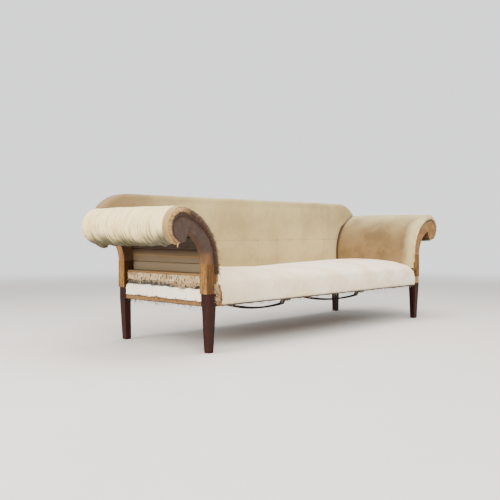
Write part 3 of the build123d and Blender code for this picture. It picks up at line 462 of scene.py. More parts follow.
# %% Scroll faces
def dark_stain(coords, parts, colour, finish, shader):
    """Purple brown stain on the front face, worn to raw timber beside the seat edge and near the post, with
    painted shade on the board's edges inside the throat.
    """
    away_x, away_z = parts[0] + (NOSE_X + 0.018), parts[2] - POST_TOP
    inward = NOSE_X + 0.018 - POST_X - calc("SQRT", away_x * away_x + away_z * away_z)
    fibre = noise(stretch(coords["Object"], (90.0, 90.0, 18.0)), 1.0, 5.0)
    front = parts[1] < FACE_Y + 0.002
    unworn = ease(inward - (fibre * 0.030 + 0.002), -0.004, 0.004)
    stained = unworn * ease(fibre * -0.06 + parts[2], POST_TOP + 0.005, POST_TOP + 0.035) * front
    # Painted shade on the faces behind the front face, inside the throat above the post.
    throat = (1 - front) * ease(parts[2], POST_TOP, POST_TOP + 0.09)
    colour = mix(throat * 0.75, colour, rgb(58, 32, 15))
    stain = mix(noise(coords["Object"], 26.0, 5.0), rgb(37, 25, 19), rgb(71, 50, 38))
    scuffed = ease(noise(stretch(coords["Object"], (120.0, 120.0, 30.0)), 1.0, 5.0), 0.56, 0.70)
    stain = mix(scuffed * 0.45, stain, rgb(108, 80, 64))
    margin = 1 - ease(inward, 0.014, 0.040)
    colour = mix(margin * 0.7, colour, rgb(40, 24, 14))
    return mix(stained, colour, stain), stained * -0.10 + finish


SCROLL_DARK = timber("scroll_dark", rgb(114, 76, 40), rgb(58, 35, 18), "Z", rough=0.7, paint=dark_stain,
                     pricks=(0.019, 0.0016))


def rubbed_tan(coords, parts, colour, finish, shader):
    """Tan rubbed face, with a paler cloud and darker dirt, and painted shade on the timber inside the throat.
    """
    cloud = noise(coords["Object"], 14.0, 5.0)
    colour = mix(ease(cloud, 0.45, 0.7) * 0.7, colour, rgb(170, 130, 80))
    dirt = noise(coords["Object"], 60.0, 4.0)
    colour = mix(ease(dirt, 0.55, 0.72) * 0.6, colour, rgb(84, 50, 28))
    # Painted shade: all faces behind the front face, inside the throat, are darkened.
    inside = parts[1] > FACE_Y + 0.002
    return mix(inside * 0.75, colour, rgb(66, 40, 22)), finish


SCROLL_TAN = timber("scroll_tan", rgb(150, 108, 62), rgb(108, 74, 40), "Z", rough=0.68, paint=rubbed_tan,
                    pricks=(0.014, 0.0019))


# %% Frame timber and slats
def top_highlight_low_line(coords, parts, colour, finish, shader):
    """Painted highlight: faces that look up are paler; and a dark line along the lower edge of the seat
    rails.
    """
    # Painted highlight on faces that look up.
    facing = split(coords["Normal"])[2]
    colour = mix(ease(facing, 0.5, 0.9) * 0.6, colour, rgb(172, 146, 104))
    edge = noise(coords["Object"], 70.0, 4.0) * 0.014 + parts[2]
    low = 1 - ease(edge, RAIL_LOW[2] + 0.008, RAIL_LOW[2] + 0.014)
    return mix(low * 0.85, colour, rgb(36, 22, 14)), finish


FRAME_X = timber("frame_wood_long", rgb(140, 96, 48), rgb(98, 64, 30), "X", rough=0.74, paint=top_highlight_low_line,
                 pricks=(0.020, 0.0016))
FRAME_Y = timber("frame_wood_deep", rgb(134, 97, 48), rgb(86, 57, 27), "Y", rough=0.74, paint=top_highlight_low_line,
                 pricks=(0.016, 0.0019))
FRAME_Z = timber("frame_wood_upright", rgb(140, 96, 48), rgb(98, 64, 30), "Z", rough=0.74,
                 pricks=(0.020, 0.0016))


def shaded_cheeks(coords, parts, colour, finish, shader):
    """The cheeks that face along the depth get painted shade, dark brown; the sawn edges stay golden."""
    facing = abs(split(coords["Normal"])[1])
    # Painted shade on the cheeks that face along the depth.
    cheek = (facing > 0.6) * 0.8
    return mix(cheek, colour, rgb(56, 33, 18)), finish


REAR_SCROLL = timber("rear_scroll_wood", rgb(162, 118, 62), rgb(104, 70, 34), "Z", rough=0.74,
                     paint=shaded_cheeks, pricks=(0.018, 0.0016))


def slat_tones_and_roll_shadow(coords, parts, colour, finish, shader):
    """Each slat is an offcut of its own tone: grey low down, a golden streak, then browner; the darkest stops
    at the top are painted shadow under the roll.
    """
    streak = noise(stretch(coords["Object"], (1.0, 2.5, 90.0)), 1.0, 4.0)
    share = add("MapRange", {0: streak * 0.02 + parts[2], 1: 0.36, 2: 0.66}).outputs[0]
    ramp = add("ValToRGB", {0: share})
    stops = ramp.color_ramp.elements
    stops[0].position, stops[0].color = 0.20, rgb(122, 108, 84)
    stops[1].position, stops[1].color = 0.33, rgb(112, 98, 74)
    # The last two stops, dark to nearly black, are painted shadow under the roll.
    for place, tone in ((0.355, rgb(136, 104, 62)), (0.38, rgb(96, 80, 55)), (0.44, rgb(56, 40, 24)),
                        (0.50, rgb(17, 11, 8))):
        stops.new(place).color = tone
    return mix(0.88, colour, ramp.outputs[0]), finish


SLAT_WOOD = timber("slat_wood", rgb(140, 104, 64), rgb(84, 58, 34), "Y", rough=0.78, paint=slat_tones_and_roll_shadow)


# %% [markdown]
# ### Iron and steel
#
# The two stretchers are old black iron, the springs are bright wire gone dull, and the tacks are rusty.
# Rust could be a picture laid over the metal, but the stains group gives it without one: where the stain is
# strong the metal turns brown, rougher and less metallic.


# %% Iron and steel
def metal(name, tone, rust, rough, metallic):
    """Dark metal with rust in patches; rust is rougher and not metallic."""
    made, shader, coords = start_material(name)
    stains = use(STAINS, {"Vector": coords["Object"], "Size": 0.06})
    rusty = calc("MAXIMUM", stains["Mottle"] * 0.5, stains["Spots"])
    link(mix(rusty, tone, rust), shader.inputs["Base Color"])
    link(rusty * 0.3 + rough, shader.inputs["Roughness"])
    link(rusty * (-0.6 * metallic) + metallic, shader.inputs["Metallic"])
    lump = noise(coords["Object"], 300.0, 4.0)
    bumped = add("Bump", {"Height": lump, "Strength": 0.4, "Distance": 0.0005})
    link(bumped.outputs[0], shader.inputs["Normal"])
    return made


BLACK_IRON = metal("black_iron", rgb(12, 11, 11), rgb(20, 15, 13), rough=0.65, metallic=0.1)
SPRING_STEEL = metal("spring_steel", rgb(112, 108, 104), rgb(104, 68, 46), rough=0.42, metallic=0.8)
TACK_STEEL = metal("tack_steel", rgb(58, 54, 52), rgb(80, 54, 42), rough=0.5, metallic=0.6)
print("materials", len(bpy.data.materials))

# %% Finishes on the timber and iron that stay
KEPT = {"front_leg": LEG_TIMBER, "rear_leg": LEG_TIMBER, "front_scroll_board_left": SCROLL_DARK,
        "front_scroll_board_right": SCROLL_TAN, "rear_scroll_board": REAR_SCROLL, "arm_slats": SLAT_WOOD,
        "arm_nose_rail": FRAME_Y, "arm_top_rail": FRAME_Y, "arm_tacking_rail": FRAME_Y,
        "side_seat_rail": FRAME_Y, "front_seat_rail": FRAME_X, "rear_seat_rail": FRAME_X,
        "back_stuffing_rail": FRAME_X, "back_top_rail": FRAME_X, "back_post": FRAME_Z,
        "back_muntin": FRAME_Z, "back_wing_board": FRAME_Z, "corner_blocks": FRAME_Z,
        "scroll_tenons": FRAME_Z, "iron_stretcher": BLACK_IRON, "stretcher_nails": TACK_STEEL}


def finish_for(node):
    """The material of the longest start of the name that is in the list, or nothing for a soft node."""
    starts = [key for key in KEPT if node.startswith(key)]
    return KEPT[max(starts, key=len)] if starts else None


def give_finish(node, material):
    """Puts one material on every slot of a node of the solid model."""
    slots = NODES[node].material_slots
    if not slots:
        NODES[node].data.materials.append(material)
    for slot in slots:
        slot.material = material


dressed = {name: finish_for(name) for name in sorted(NODES)}
for name, material in dressed.items():
    if material:
        give_finish(name, material)
print("soft nodes to replace:", [name for name, material in dressed.items() if not material])

# %% [markdown]
# ## Surfaces as grids
#
# Nearly every soft piece below is a function of two parameters, worked out as a whole array of points. One
# helper turns such a grid into a mesh, with a UV map in metres so that the weave follows the cloth. A
# second helper gives smooth random hills, seeded, for creases that come out the same on every run.


# %% Smooth random hills
HILLS, STRIDE_U, STRIDE_V = 5003, 131, 977


def soft_hills(u, v, seed):
    """Smooth random hills between -1 and 1: random heights on a lattice, joined by an S curve."""
    heights = np.random.default_rng(seed).uniform(-1, 1, HILLS)
    u, v = np.broadcast_arrays(np.asarray(u, float), np.asarray(v, float))
    col, row = np.floor(u).astype(int), np.floor(v).astype(int)
    across, up = u - col, v - row
    across, up = across * across * (3 - 2 * across), up * up * (3 - 2 * up)
    corner = [[heights[((col + i) * STRIDE_U + (row + j) * STRIDE_V) % HILLS] for i in (0, 1)]
              for j in (0, 1)]
    low = corner[0][0] * (1 - across) + corner[0][1] * across
    high = corner[1][0] * (1 - across) + corner[1][1] * across
    return low * (1 - up) + high * up


def rough_hills(u, v, seed):
    """Three layers of soft hills, each half as high and twice as close as the one before."""
    return sum(soft_hills(u * 2**k, v * 2**k, seed + k) / 2**k for k in range(3)) / 1.75


def smooth(value, low, high):
    """0 below low, 1 above high, an S curve between."""
    share = np.clip((value - low) / (high - low), 0, 1)
    return share * share * (3 - 2 * share)


# %% Lines and points
SIDE_WORD = {-1: "left", 1: "right"}


def joined(*parts):
    """Coordinates of any shapes that fit together, as one array of points."""
    return np.stack(np.broadcast_arrays(*parts), axis=-1)


def run(first, last, count):
    """Points on a straight run, without the last."""
    return np.linspace(first, last, count, endpoint=False)


def distances(line):
    """How far along a line each of its points is."""
    return np.concatenate([[0], np.cumsum(np.linalg.norm(np.diff(line, axis=0), axis=1))])


def evenly(line, count):
    """The same line in even steps, and how far along it each of them is."""
    reach = distances(line)
    even = np.linspace(0, reach[-1], count)
    return joined(*(np.interp(even, reach, part) for part in line.T)), even


# %% Meshes and pieces
def grid_mesh(name, points, uv=None, loop_rows=False, loop_columns=False, flip=False):
    """Quads between neighbouring points of a grid of rows by columns, or of several grids of one size.

    A looped side joins back to its start. The UV map, where there is one, is in metres.
    """
    rows, columns = points.shape[-3:-1]
    number = np.arange(rows * columns).reshape(rows, columns)
    number = np.vstack([number, number[:1]]) if loop_rows else number
    number = np.hstack([number, number[:, :1]]) if loop_columns else number
    quads = np.stack([number[:-1, :-1], number[:-1, 1:], number[1:, 1:], number[1:, :-1]], axis=-1)
    quads = quads.reshape(-1, 4)[:, ::-1] if flip else quads.reshape(-1, 4)
    firsts = np.arange(0, points.size // 3, rows * columns)[:, None, None]
    mesh = bpy.data.meshes.new(name)
    mesh.from_pydata(points.reshape(-1, 3).tolist(), [], (quads + firsts).reshape(-1, 4).tolist())
    if uv is not None:
        corner = np.empty(len(mesh.loops), np.int32)
        mesh.loops.foreach_get("vertex_index", corner)
        layer = mesh.uv_layers.new(name="cloth")
        layer.data.foreach_set("uv", uv.reshape(-1, 2)[corner].astype(np.float32).ravel())
    mesh.polygons.foreach_set("use_smooth", np.ones(len(mesh.polygons), bool))
    return mesh


def normals_out(mesh):
    """Merges points that coincide and turns all faces of a closed mesh outward."""
    work = bmesh.new()
    work.from_mesh(mesh)
    bmesh.ops.remove_doubles(work, verts=work.verts, dist=1e-6)
    bmesh.ops.recalc_face_normals(work, faces=work.faces)
    work.to_mesh(mesh)
    work.free()
    return mesh


def settle(name, mesh, material, replaces=()):
    """Makes a mesh a piece of the sofa: material, body, and the nodes that it stands for."""
    made = add_object(name, mesh)
    mesh.materials.append(material)
    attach(made, "root")
    if replaces:
        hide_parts(*replaces)
    spread = np.array([corner[:] for corner in made.bound_box])
    print(name, len(mesh.polygons), "faces", spread.min(axis=0).round(3), spread.max(axis=0).round(3))
    return made


def thicken(piece, thickness):
    """Gives a sheet its cloth thickness, on both sides of its surface."""
    made = piece.modifiers.new("cloth_thickness", "SOLIDIFY")
    made.thickness, made.offset = thickness, 0.0


# %% [markdown]
# ## Arm linings
#
# Each arm is a shell of slats with stuffing laid over it and linen pulled round: up the inside face, over
# the top and down round the roll. The section is an upright line, an arc that leans out and a smaller arc
# for the roll, all tangent. The fullness swells a little in the middle. On the left roll the cloth was
# gathered into many fine pleats, which a displacement along the surface normal draws directly, since a
# simulation would not keep them.

# %% Section of an arm
ROLL_X, ROLL_Z, ROLL_END, TORN_END = 1.129, 0.608, math.radians(-98), math.radians(-62)
LINING = (0.018, 0.026, 0.022)
ROLL_RS = (0.090, 0.094, 0.092)
ARM_LOW_Z = 0.338
POST_CLEAR, NOSE_CLEAR = 0.0087, 0.0004
SHARE_LENGTH = 0.27


def along_arm(values, place):
    """A parabola through values at the front (-1), the middle (0) and the rear (1)."""
    front, middle, rear = values
    return middle + (rear - front) / 2 * place + ((front + rear) / 2 - middle) * place**2


def arm_section(share, low_x, roll_x, roll_z, roll_r, low_z=ARM_LOW_Z, end=ROLL_END):
    """Share 0 to 1 runs up the straight, 1 to 2 along the neck arc and 2 to 3 round the roll.

    The neck arc starts upright at the top of the post and meets the roll tangent from outside, so its radius
    is (reach^2 + rise^2 - roll^2) / (2 (reach - roll)). Gives x, z and the outward direction.
    """
    reach, rise = roll_x - low_x, roll_z - POST_TOP
    neck_r = (reach**2 + rise**2 - roll_r**2) / (2 * (reach - roll_r))
    neck_x = low_x + neck_r
    meet = np.arctan2(rise, roll_x - neck_x)
    angle = np.where(share < 2, np.pi + (meet - np.pi) * np.clip(share - 1, 0, 1),
                     meet + (end - meet) * np.clip(share - 2, 0, 1))
    x = np.where(share < 2, neck_x + neck_r * np.cos(angle), roll_x + roll_r * np.cos(angle))
    z = np.where(share < 2, POST_TOP + neck_r * np.sin(angle), roll_z + roll_r * np.sin(angle))
    return x, z - (POST_TOP - low_z) * np.clip(1 - share, 0, 1), np.cos(angle), np.sin(angle)


ARM_SHARE = np.concatenate([run(0, 1, 20), 1 + run(0, 1, 76), 2 + np.linspace(0, 1, 80)])


# %% Cloth of an arm
def end_rounding(gap, radius):
    """How far a rounded end has drawn in at a distance gap from it: a quarter circle."""
    return radius - np.sqrt(np.maximum(radius**2 - (radius - np.minimum(gap, radius)) ** 2, 0))


def pleats(y, share):
    """Fine gathers round the roll: |sin| creases that wander, deeper toward the lower edge."""
    wander = 1.3 * soft_hills(y / 0.05, share * 2.5, 11) + 0.5 * soft_hills(y / 0.02, share * 4, 12)
    crease = np.abs(np.sin(np.pi * (y / 0.021 + wander))) ** 0.7 - 0.6
    fine = np.abs(np.sin(np.pi * (y / 0.0105 + 0.7 * wander))) - 0.6
    uneven = 0.6 + 0.4 * soft_hills(y / 0.07, 0, 13)
    depth = 0.0016 * smooth(share, 1.9, 2.2) + 0.0056 * smooth(share, 2.1, 2.8) * uneven
    gather = 0.8 + 1.1 * np.exp(-(((y + 0.033) / 0.06) ** 2)) + 0.5 * np.exp(-(((y - 0.20) / 0.10) ** 2))
    return depth * gather * (crease + 0.4 * fine)


def arm_points(rows, pleated):
    """Outer cloth at each y and share; ends rounded, creased, and pleated and torn where asked."""
    y = np.linspace(FACE_Y + 0.001, REAR_Y - 0.001, rows)[:, None]
    from_front, from_rear = y - y[0], y[-1] - y
    place = 2 * from_front / (y[-1] - y[0]) - 1
    share = ARM_SHARE[None, :]
    end = ROLL_END + 0.10 * soft_hills(y / 0.09, 0, 17) + 0.05 * soft_hills(y / 0.02, 0, 18)
    end = end + pleated * (TORN_END - ROLL_END) * (1 - smooth(y, -0.33, -0.16))
    x, z, out_x, out_z = arm_section(share, POST_X - along_arm(LINING, place), ROLL_X, ROLL_Z,
                                     along_arm(ROLL_RS, place), end=end)
    soft = 0.006 + 0.014 * smooth(share, 1.7, 2.3)
    push = -end_rounding(from_front, 0.007) - end_rounding(from_rear, soft)
    push = push + 0.0016 * rough_hills(y / 0.13, share * 1.7, 21)
    push = push + 0.0006 * rough_hills(y / 0.03, share * 5, 22)
    push = push + (pleats(y, share) if pleated else 0.4 * pleats(y * 0.6, share))
    turned = smooth(share, 1.9, 2.1) * (1 - smooth(from_front, 0.030, 0.042)) * pleated
    folds = 0.0010 * np.cos(from_front * 2 * np.pi / 0.011) + 0.0006 * soft_hills(share * 30, y / 0.004, 19)
    push = push + turned * (0.0012 + folds)
    torn = 0.020 * np.exp(-(((y - 0.275) / 0.035) ** 2)) + 0.006 * soft_hills(y / 0.012, 0, 20)
    z = z + push * out_z - torn * pleated * smooth(share, 2.75, 3.0)
    return joined(x + push * out_x, y, z)


def close_on_timber(outer):
    """Adds rows that carry both ends to the timber line, and columns that close the two long edges on it."""
    inner_x, inner_z, _, _ = arm_section(ARM_SHARE, POST_X - POST_CLEAR, NOSE_X, NOSE_Z, NOSE_R + NOSE_CLEAR)
    inner = joined(inner_x, 0, inner_z)
    steps = np.array([1.0, 0.7, 0.35, 0.12])[:, None, None]
    caps = [end + steps * (np.where([1, 0, 1], inner, end) - end) for end in (outer[0], outer[-1])]
    grid = np.concatenate([caps[0], outer, caps[1][::-1]])
    flat = np.where([1, 0, 1], inner[None], grid)
    return np.concatenate([flat[:, :1], grid, flat[:, -1:]], axis=1)


def arm_lining(side, rows, pleated, material):
    """One arm's lining: side is 1 for the right and -1 for the left."""
    word = SIDE_WORD[side]
    points = close_on_timber(arm_points(rows, pleated))
    reach = np.concatenate([[0], ARM_SHARE, [3]]) * SHARE_LENGTH
    uv = joined(points[..., 1], reach[None, :])
    mesh = grid_mesh("arm_lining_" + word, points * [side, 1, 1], uv, loop_rows=True, flip=side < 0)
    piece = settle("arm_lining_" + word, normals_out(mesh), material,
                   ("arm_pad_" + word, "arm_cover_" + word))


# %% Lining colours
def left_roll_soil_and_shade(coords, colour):
    """Cream over the roll, raw beige at its front end, browner inside and stained along the lower edge;
    painted shade in the pleat gaps, in the folds of the raw end and along the turned edge.
    """
    along, round_arm, _ = split(coords["UV"])
    streak = noise(stretch(coords["UV"], (150.0, 5.0, 1.0)), 1.0, 4.0)
    fine = noise(stretch(coords["UV"], (420.0, 4.0, 1.0)), 1.0, 3.0)
    colour = mix(1 - ease(round_arm, 0.44, 0.53), colour, rgb(136, 112, 72))
    line = ease(fine, 0.48, 0.62) * ease(round_arm, 0.50, 0.62)
    colour = mix(line * 0.85, colour, rgb(196, 164, 100))
    # Painted shade in the gaps between the pleats on the lower roll.
    gap = ease(streak, 0.57, 0.66) * ease(round_arm, 0.62, 0.72)
    colour = mix(gap * 0.8, colour, rgb(120, 98, 52))
    edge = noise(coords["Object"], 16.0, 3.0) * 0.05 + (streak * 0.09 + round_arm)
    colour = mix(ease(edge, 0.765, 0.830) * 0.92, colour, rgb(46, 42, 20))
    turned = streak * 0.008 + along
    shadow = 1 - ease(abs(turned - (FACE_Y + 0.044)), 0.0012, 0.0030)
    colour = mix(shadow * 0.7, colour, rgb(96, 72, 40))
    beige = mix(noise(coords["UV"], 160.0, 4.0), rgb(176, 144, 92), rgb(122, 92, 54))
    # Painted shade in the folds of the raw end.
    folds = calc("SINE", turned * (2 * math.pi / 0.013) + streak)
    beige = mix(ease(folds, 0.55, 0.95) * 0.75, beige, rgb(84, 62, 36))
    raw = 1 - ease(turned, FACE_Y + 0.040, FACE_Y + 0.046)
    return mix(raw * 0.9, colour, beige)


def right_lining_wear_and_shade(coords, colour):
    """Tan inside face, paler over the top and front edge, with painted shade in the rear crease and under the
    roll.
    """
    along, round_arm, _ = split(coords["UV"])
    cloud = noise(coords["Object"], 9.0, 5.0)
    top = ease(cloud * 0.12 + round_arm, 0.44, 0.64)
    front = 1 - ease(cloud * 0.07 + along, FACE_Y + 0.05, FACE_Y + 0.13)
    colour = mix(calc("MAXIMUM", top, front) * 0.85, colour, rgb(190, 178, 130))
    # Painted shade in the crease where the arm meets the back.
    crease = ease(along, 0.252, 0.266) * ease(round_arm, 0.56, 0.50)
    colour = mix(crease * 0.8, colour, rgb(52, 34, 22))
    # Painted shade under the roll.
    return mix(ease(round_arm, 0.735, 0.765) * 0.85, colour, rgb(48, 32, 20))


LINING_LEFT = cloth("arm_lining_cream", rgb(250, 232, 178), rgb(238, 214, 154), pitch=0.0011, patch=0.12,
                    paint=left_roll_soil_and_shade)
LINING_RIGHT = cloth("arm_lining_tan", rgb(128, 104, 66), rgb(104, 82, 50), pitch=0.0011, patch=0.16,
                     paint=right_lining_wear_and_shade)

# %% Make both linings
arm_lining(-1, rows=300, pleated=True, material=LINING_LEFT)
arm_lining(1, rows=150, pleated=False, material=LINING_RIGHT)

# %% [markdown]
# ## Seat
#
# The seat is one long stuffed platform: a soft roll along the front edge, a low crown, and a hollow where
# people sat. Calico is pulled over it from under the front rail to behind the back. Its section is a closed
# line in depth and height, carried along the length. The width steps in above the rails, where the arms
# stand on it.

# %% Section of the seat
SEAT_FACE, SEAT_REAR = SEAT_LOW[1], SEAT_HIGH[1]
SEAT_UNDER = SEAT_LOW[2] - 0.0006
ROLL_START, ROLL_DEPTH, ROLL_RISE = 0.310, 0.090, 0.060
HEM_IN, HEM_Z, HEEL_R = 0.034, 0.2222, 0.006
RAIL_TOP, WELL_Z, REAR_FOOT = 0.283, 0.331, 0.284
RAIL_HALF, ARM_CLEAR = 0.912, 0.0005
CROWN, REAR_TOP = SEAT_HIGH[2], 0.376


def seat_section():
    """Closed line in y and z: under the rail, up the face, round the roll, over the crown and back below."""
    turn = run(0, np.pi / 2, 26)
    under = run((SEAT_FACE + HEM_IN, SEAT_UNDER), (SEAT_FACE + HEEL_R, SEAT_UNDER), 5)
    heel = [SEAT_FACE, SEAT_UNDER] + HEEL_R * (1 - joined(np.sin(turn[::4]), np.cos(turn[::4])))
    face = run((SEAT_FACE, SEAT_UNDER + HEEL_R), (SEAT_FACE, ROLL_START), 16)
    face = face - joined(0.003 * np.sin(np.pi * run(0, 1, 16)), 0)
    roll = joined(SEAT_FACE + ROLL_DEPTH * (1 - np.cos(turn)), ROLL_START + ROLL_RISE * np.sin(turn))
    t, start = run(0, 1, 84), ROLL_START + ROLL_RISE
    crown = (CROWN - (start + REAR_TOP) / 2) * np.sin(np.pi * t)
    top = joined(SEAT_FACE + ROLL_DEPTH + t * (SEAT_REAR - SEAT_FACE - ROLL_DEPTH),
                 start + (REAR_TOP - start) * t + crown)
    tuck, well = SEAT_REAR + 0.003, SEAT_REAR - 0.02
    hidden = [(SEAT_REAR, REAR_TOP), (tuck, 0.345), (tuck, REAR_FOOT), (well, REAR_FOOT), (well, WELL_Z),
              (RAIL_HIGH[1], WELL_Z), (RAIL_HIGH[1], RAIL_TOP), (RAIL_LOW[1], RAIL_TOP), (RAIL_LOW[1], HEM_Z),
              (SEAT_FACE + HEM_IN, HEM_Z)]
    return np.concatenate([under, heel, face, roll, top, np.array(hidden)])


SEAT_LINE = seat_section()
print("seat section", len(SEAT_LINE), "points")


# %% Hollows and creases
def seat_hollow(x, y):
    """How far the seat has sunk: a broad hollow left of the middle that is deepest at the back."""
    depth = smooth(y, SEAT_FACE + 0.10, SEAT_REAR - 0.08)
    broad = 0.022 * np.exp(-(((x + 0.20) / 0.42) ** 2)) + 0.004 * np.exp(-(((x - 0.35) / 0.3) ** 2))
    return broad * depth


def seat_creases(x, run_length, seed):
    """Loose creases of a calico that is tacked by hand: broad waves, finer ones, and pulls at the tacks."""
    waves = 0.0030 * rough_hills(x / 0.17, run_length / 0.15, seed)
    waves = waves + 0.0009 * rough_hills(x / 0.05, run_length / 0.07, seed + 5)
    pulls = np.abs(np.sin(np.pi * (x / 0.078 + 0.3 * soft_hills(x / 0.2, 0, seed + 8))))
    return waves + 0.0022 * (pulls - 0.6) * np.exp(-(((run_length - 0.03) / 0.05) ** 2))


def seat_points(columns=250):
    """Section points across the length: half width follows the rails below and the arm linings above."""
    u = np.linspace(-1, 1, columns)
    u = np.sign(u) * (1 - (1 - np.abs(u)) ** 1.25)
    y, z = SEAT_LINE[:, 0][:, None], SEAT_LINE[:, 1][:, None]
    place = np.clip((y - MIDDLE_Y) / (REAR_Y - MIDDLE_Y), -1, 1)
    narrow = POST_X - along_arm(LINING, place) - ARM_CLEAR
    half = RAIL_HALF + (narrow - RAIL_HALF) * smooth(z, 0.322, 0.342)
    x = u[None, :] * half
    inset = half - np.abs(x)
    step = np.hypot(*np.diff(SEAT_LINE, axis=0, append=SEAT_LINE[:1]).T)
    length = np.cumsum(step)[:, None] - step[0]
    shown = smooth(length, 0.0, 0.02) * (1 - smooth(length, 0.70, 0.74)) * smooth(inset, 0.0, 0.03)
    flat = joined(x, y, z)
    ahead = np.gradient(flat, axis=0)
    out = np.cross(np.broadcast_to([1.0, 0, 0], flat.shape), ahead)
    out /= np.maximum(np.linalg.norm(out, axis=-1, keepdims=True), 1e-9)
    full = smooth(inset, 0.0, 0.06) * smooth(z, 0.25, 0.30)
    moved = flat + out * (shown * seat_creases(x, length, 31))[..., None]
    moved = moved - out * (0.0065 * full * shown)[..., None]
    near_front = 1 - smooth(y, SEAT_FACE + 0.04, SEAT_FACE + 0.16)
    corner = 0.010 * smooth(np.abs(x), 0.80, 0.915) * smooth(z, 0.25, 0.33) * near_front
    moved[..., 2] -= seat_hollow(x, y) * smooth(z, 0.33, 0.36) + corner
    moved[..., 1] += 0.6 * corner
    return moved, joined(x, length)


def seat_paint(coords, colour):
    """A dark line where the front turns under, darker towards the bottom above it, browner toward the left
    end, and painted shade toward the back.
    """
    x, y, z = split(coords["Object"])
    left = 1 - ease(noise(coords["Object"], 6.0, 5.0) * 0.6 + x, -0.85, 0.10)
    colour = mix(left * 0.75, colour, rgb(200, 174, 134))
    # Painted shade toward the back, where the seat meets the back.
    colour = mix(ease(y, 0.12, 0.27) * 0.5, colour, rgb(214, 184, 138))
    low = 1 - ease(noise(coords["Object"], 30.0, 4.0) * 0.03 + z, 0.236, 0.262)
    colour = mix(low * 0.55, colour, rgb(176, 142, 96))
    edge = noise(coords["Object"], 90.0, 4.0) * 0.006 + z
    raw = 1 - ease(edge, SEAT_UNDER + 0.0095, SEAT_UNDER + 0.0130)
    colour = mix(raw * 0.95, colour, rgb(32, 22, 15))
    fuzz = noise(coords["Object"], 80.0, 5.0, 0.65)
    gone = 1 - ease(fuzz * -0.045 + x, -0.912, -0.904)
    gone = gone * (1 - ease(y, SEAT_FACE + 0.010, SEAT_FACE + 0.022))
    return mix(gone, colour, mix(ease(fuzz, 0.40, 0.62), rgb(140, 102, 58), rgb(48, 29, 17)))


# %% [markdown]
# ### Settling the stuffed cloth
#
# Real calico finds its own shape: the stuffing pushes out and the tacked edges hold. The formula above
# gives a shape that is nearly right, and a short cloth simulation lets it settle from there. It runs for a
# few frames with pressure inside, is read back into the mesh and then removed, so that nothing moves later.
# Each point's movement is capped, which keeps the seat on its rails.


# %% Settle a stuffed cloth
def settle_cloth(piece, held, pressure, slack, cap):
    """Cloth simulation on the piece: pressure from the stuffing, no gravity, held points kept in place.

    The cloth is cut larger by the share slack, so it creases a little. A point moves by no more than cap.
    """
    points = np.empty(len(piece.data.vertices) * 3)
    piece.data.vertices.foreach_get("co", points)
    group = piece.vertex_groups.new(name="held")
    for level in range(1, 11):
        group.add(np.flatnonzero(np.round(held * 10) == level).tolist(), level / 10, "REPLACE")
    made = piece.modifiers.new("settle", "CLOTH")
    made.settings.vertex_group_mass = "held"
    made.settings.use_pressure = True
    made.settings.uniform_pressure_force = pressure
    made.settings.shrink_min = -slack
    made.settings.effector_weights.gravity = 0.0
    made.settings.bending_stiffness = 4.0
    made.settings.quality = 3
    for step in range(1, 13):
        bpy.context.scene.frame_set(step)
    after = np.empty_like(points)
    piece.evaluated_get(bpy.context.evaluated_depsgraph_get()).data.vertices.foreach_get("co", after)
    moved = (after - points).reshape(-1, 3)
    far = np.linalg.norm(moved, axis=1, keepdims=True)
    moved *= np.minimum(1, cap / np.maximum(far, 1e-9))
    piece.modifiers.remove(made)
    piece.vertex_groups.remove(group)
    bpy.context.scene.frame_set(1)
    piece.data.vertices.foreach_set("co", points + moved.ravel())
    piece.data.update()
    print(piece.name, "settled by", far.mean().round(5), "at most", far.max().round(4), "kept below", cap)


# %% Make the seat
CALICO = cloth("seat_calico", rgb(250, 236, 212), rgb(238, 216, 182), pitch=0.0007, patch=0.22,
               paint=seat_paint)
seat_grid, seat_uv = seat_points()
middle = seat_grid.mean(axis=0)
caps = [np.where([1, 0, 0], seat_grid[:, [end]], middle[[end]]) for end in (0, -1)]
seat_grid = np.concatenate([caps[0], seat_grid, caps[1]], axis=1)
seat_uv = np.concatenate([seat_uv[:, :1], seat_uv, seat_uv[:, -1:]], axis=1)
seat_mesh = normals_out(grid_mesh("seat_stuffing", seat_grid, seat_uv, loop_rows=True))
seat = settle("seat_stuffing", seat_mesh, CALICO, ("seat_pad", "seat_cover"))
place = np.array([v.co[:] for v in seat.data.vertices])
x, y, z = place.T
free = smooth(z, 0.235, 0.27) * (1 - smooth(y, SEAT_REAR - 0.05, SEAT_REAR - 0.01))
free = free * (1 - smooth(np.abs(x), 0.84, 0.885)) * smooth(z - 0.10 * (y - SEAT_FACE), 0.215, 0.24)
inside = (y > RAIL_LOW[1] - 0.004) & (z < 0.345)
settle_cloth(seat, 1 - free * ~inside, pressure=2.0, slack=0.004, cap=0.010)

# %% [markdown]
# ## Back
#
# The back is a thin stuffed panel that leans slightly, with rounded upper corners that die into the arms.
# Its face is spanned between its own outline and a line along its foot; the outline is a straight side, the
# arc of the arm, a corner arc and the top. From the outline the linen rolls over the edge and goes back
# round the top rail.

# %% Outline of the back
BACK_REAR, BACK_PIVOT_Z, BACK_LEAN = 0.304, 0.282, math.radians(2.0)
BACK_FACE, BACK_WRAP = 0.268, 0.346
BACK_TOP, BACK_FOOT = 0.785, 0.340
CORNER_R, CORNER_X = 0.215, 0.957
CREST_Z, BACK_LAP = 0.706, 0.003
BACK_LINING, BACK_ROLL_R = 0.024, 0.093
EDGE_IN, EDGE_DEEP = 0.024, 0.016
STUFFED_TO, TUCK_IN = BACK_REAR - 0.0044, 0.012
SEAM_Z, SEAMS_X = 0.527, (0.039, 0.2265, 0.728)


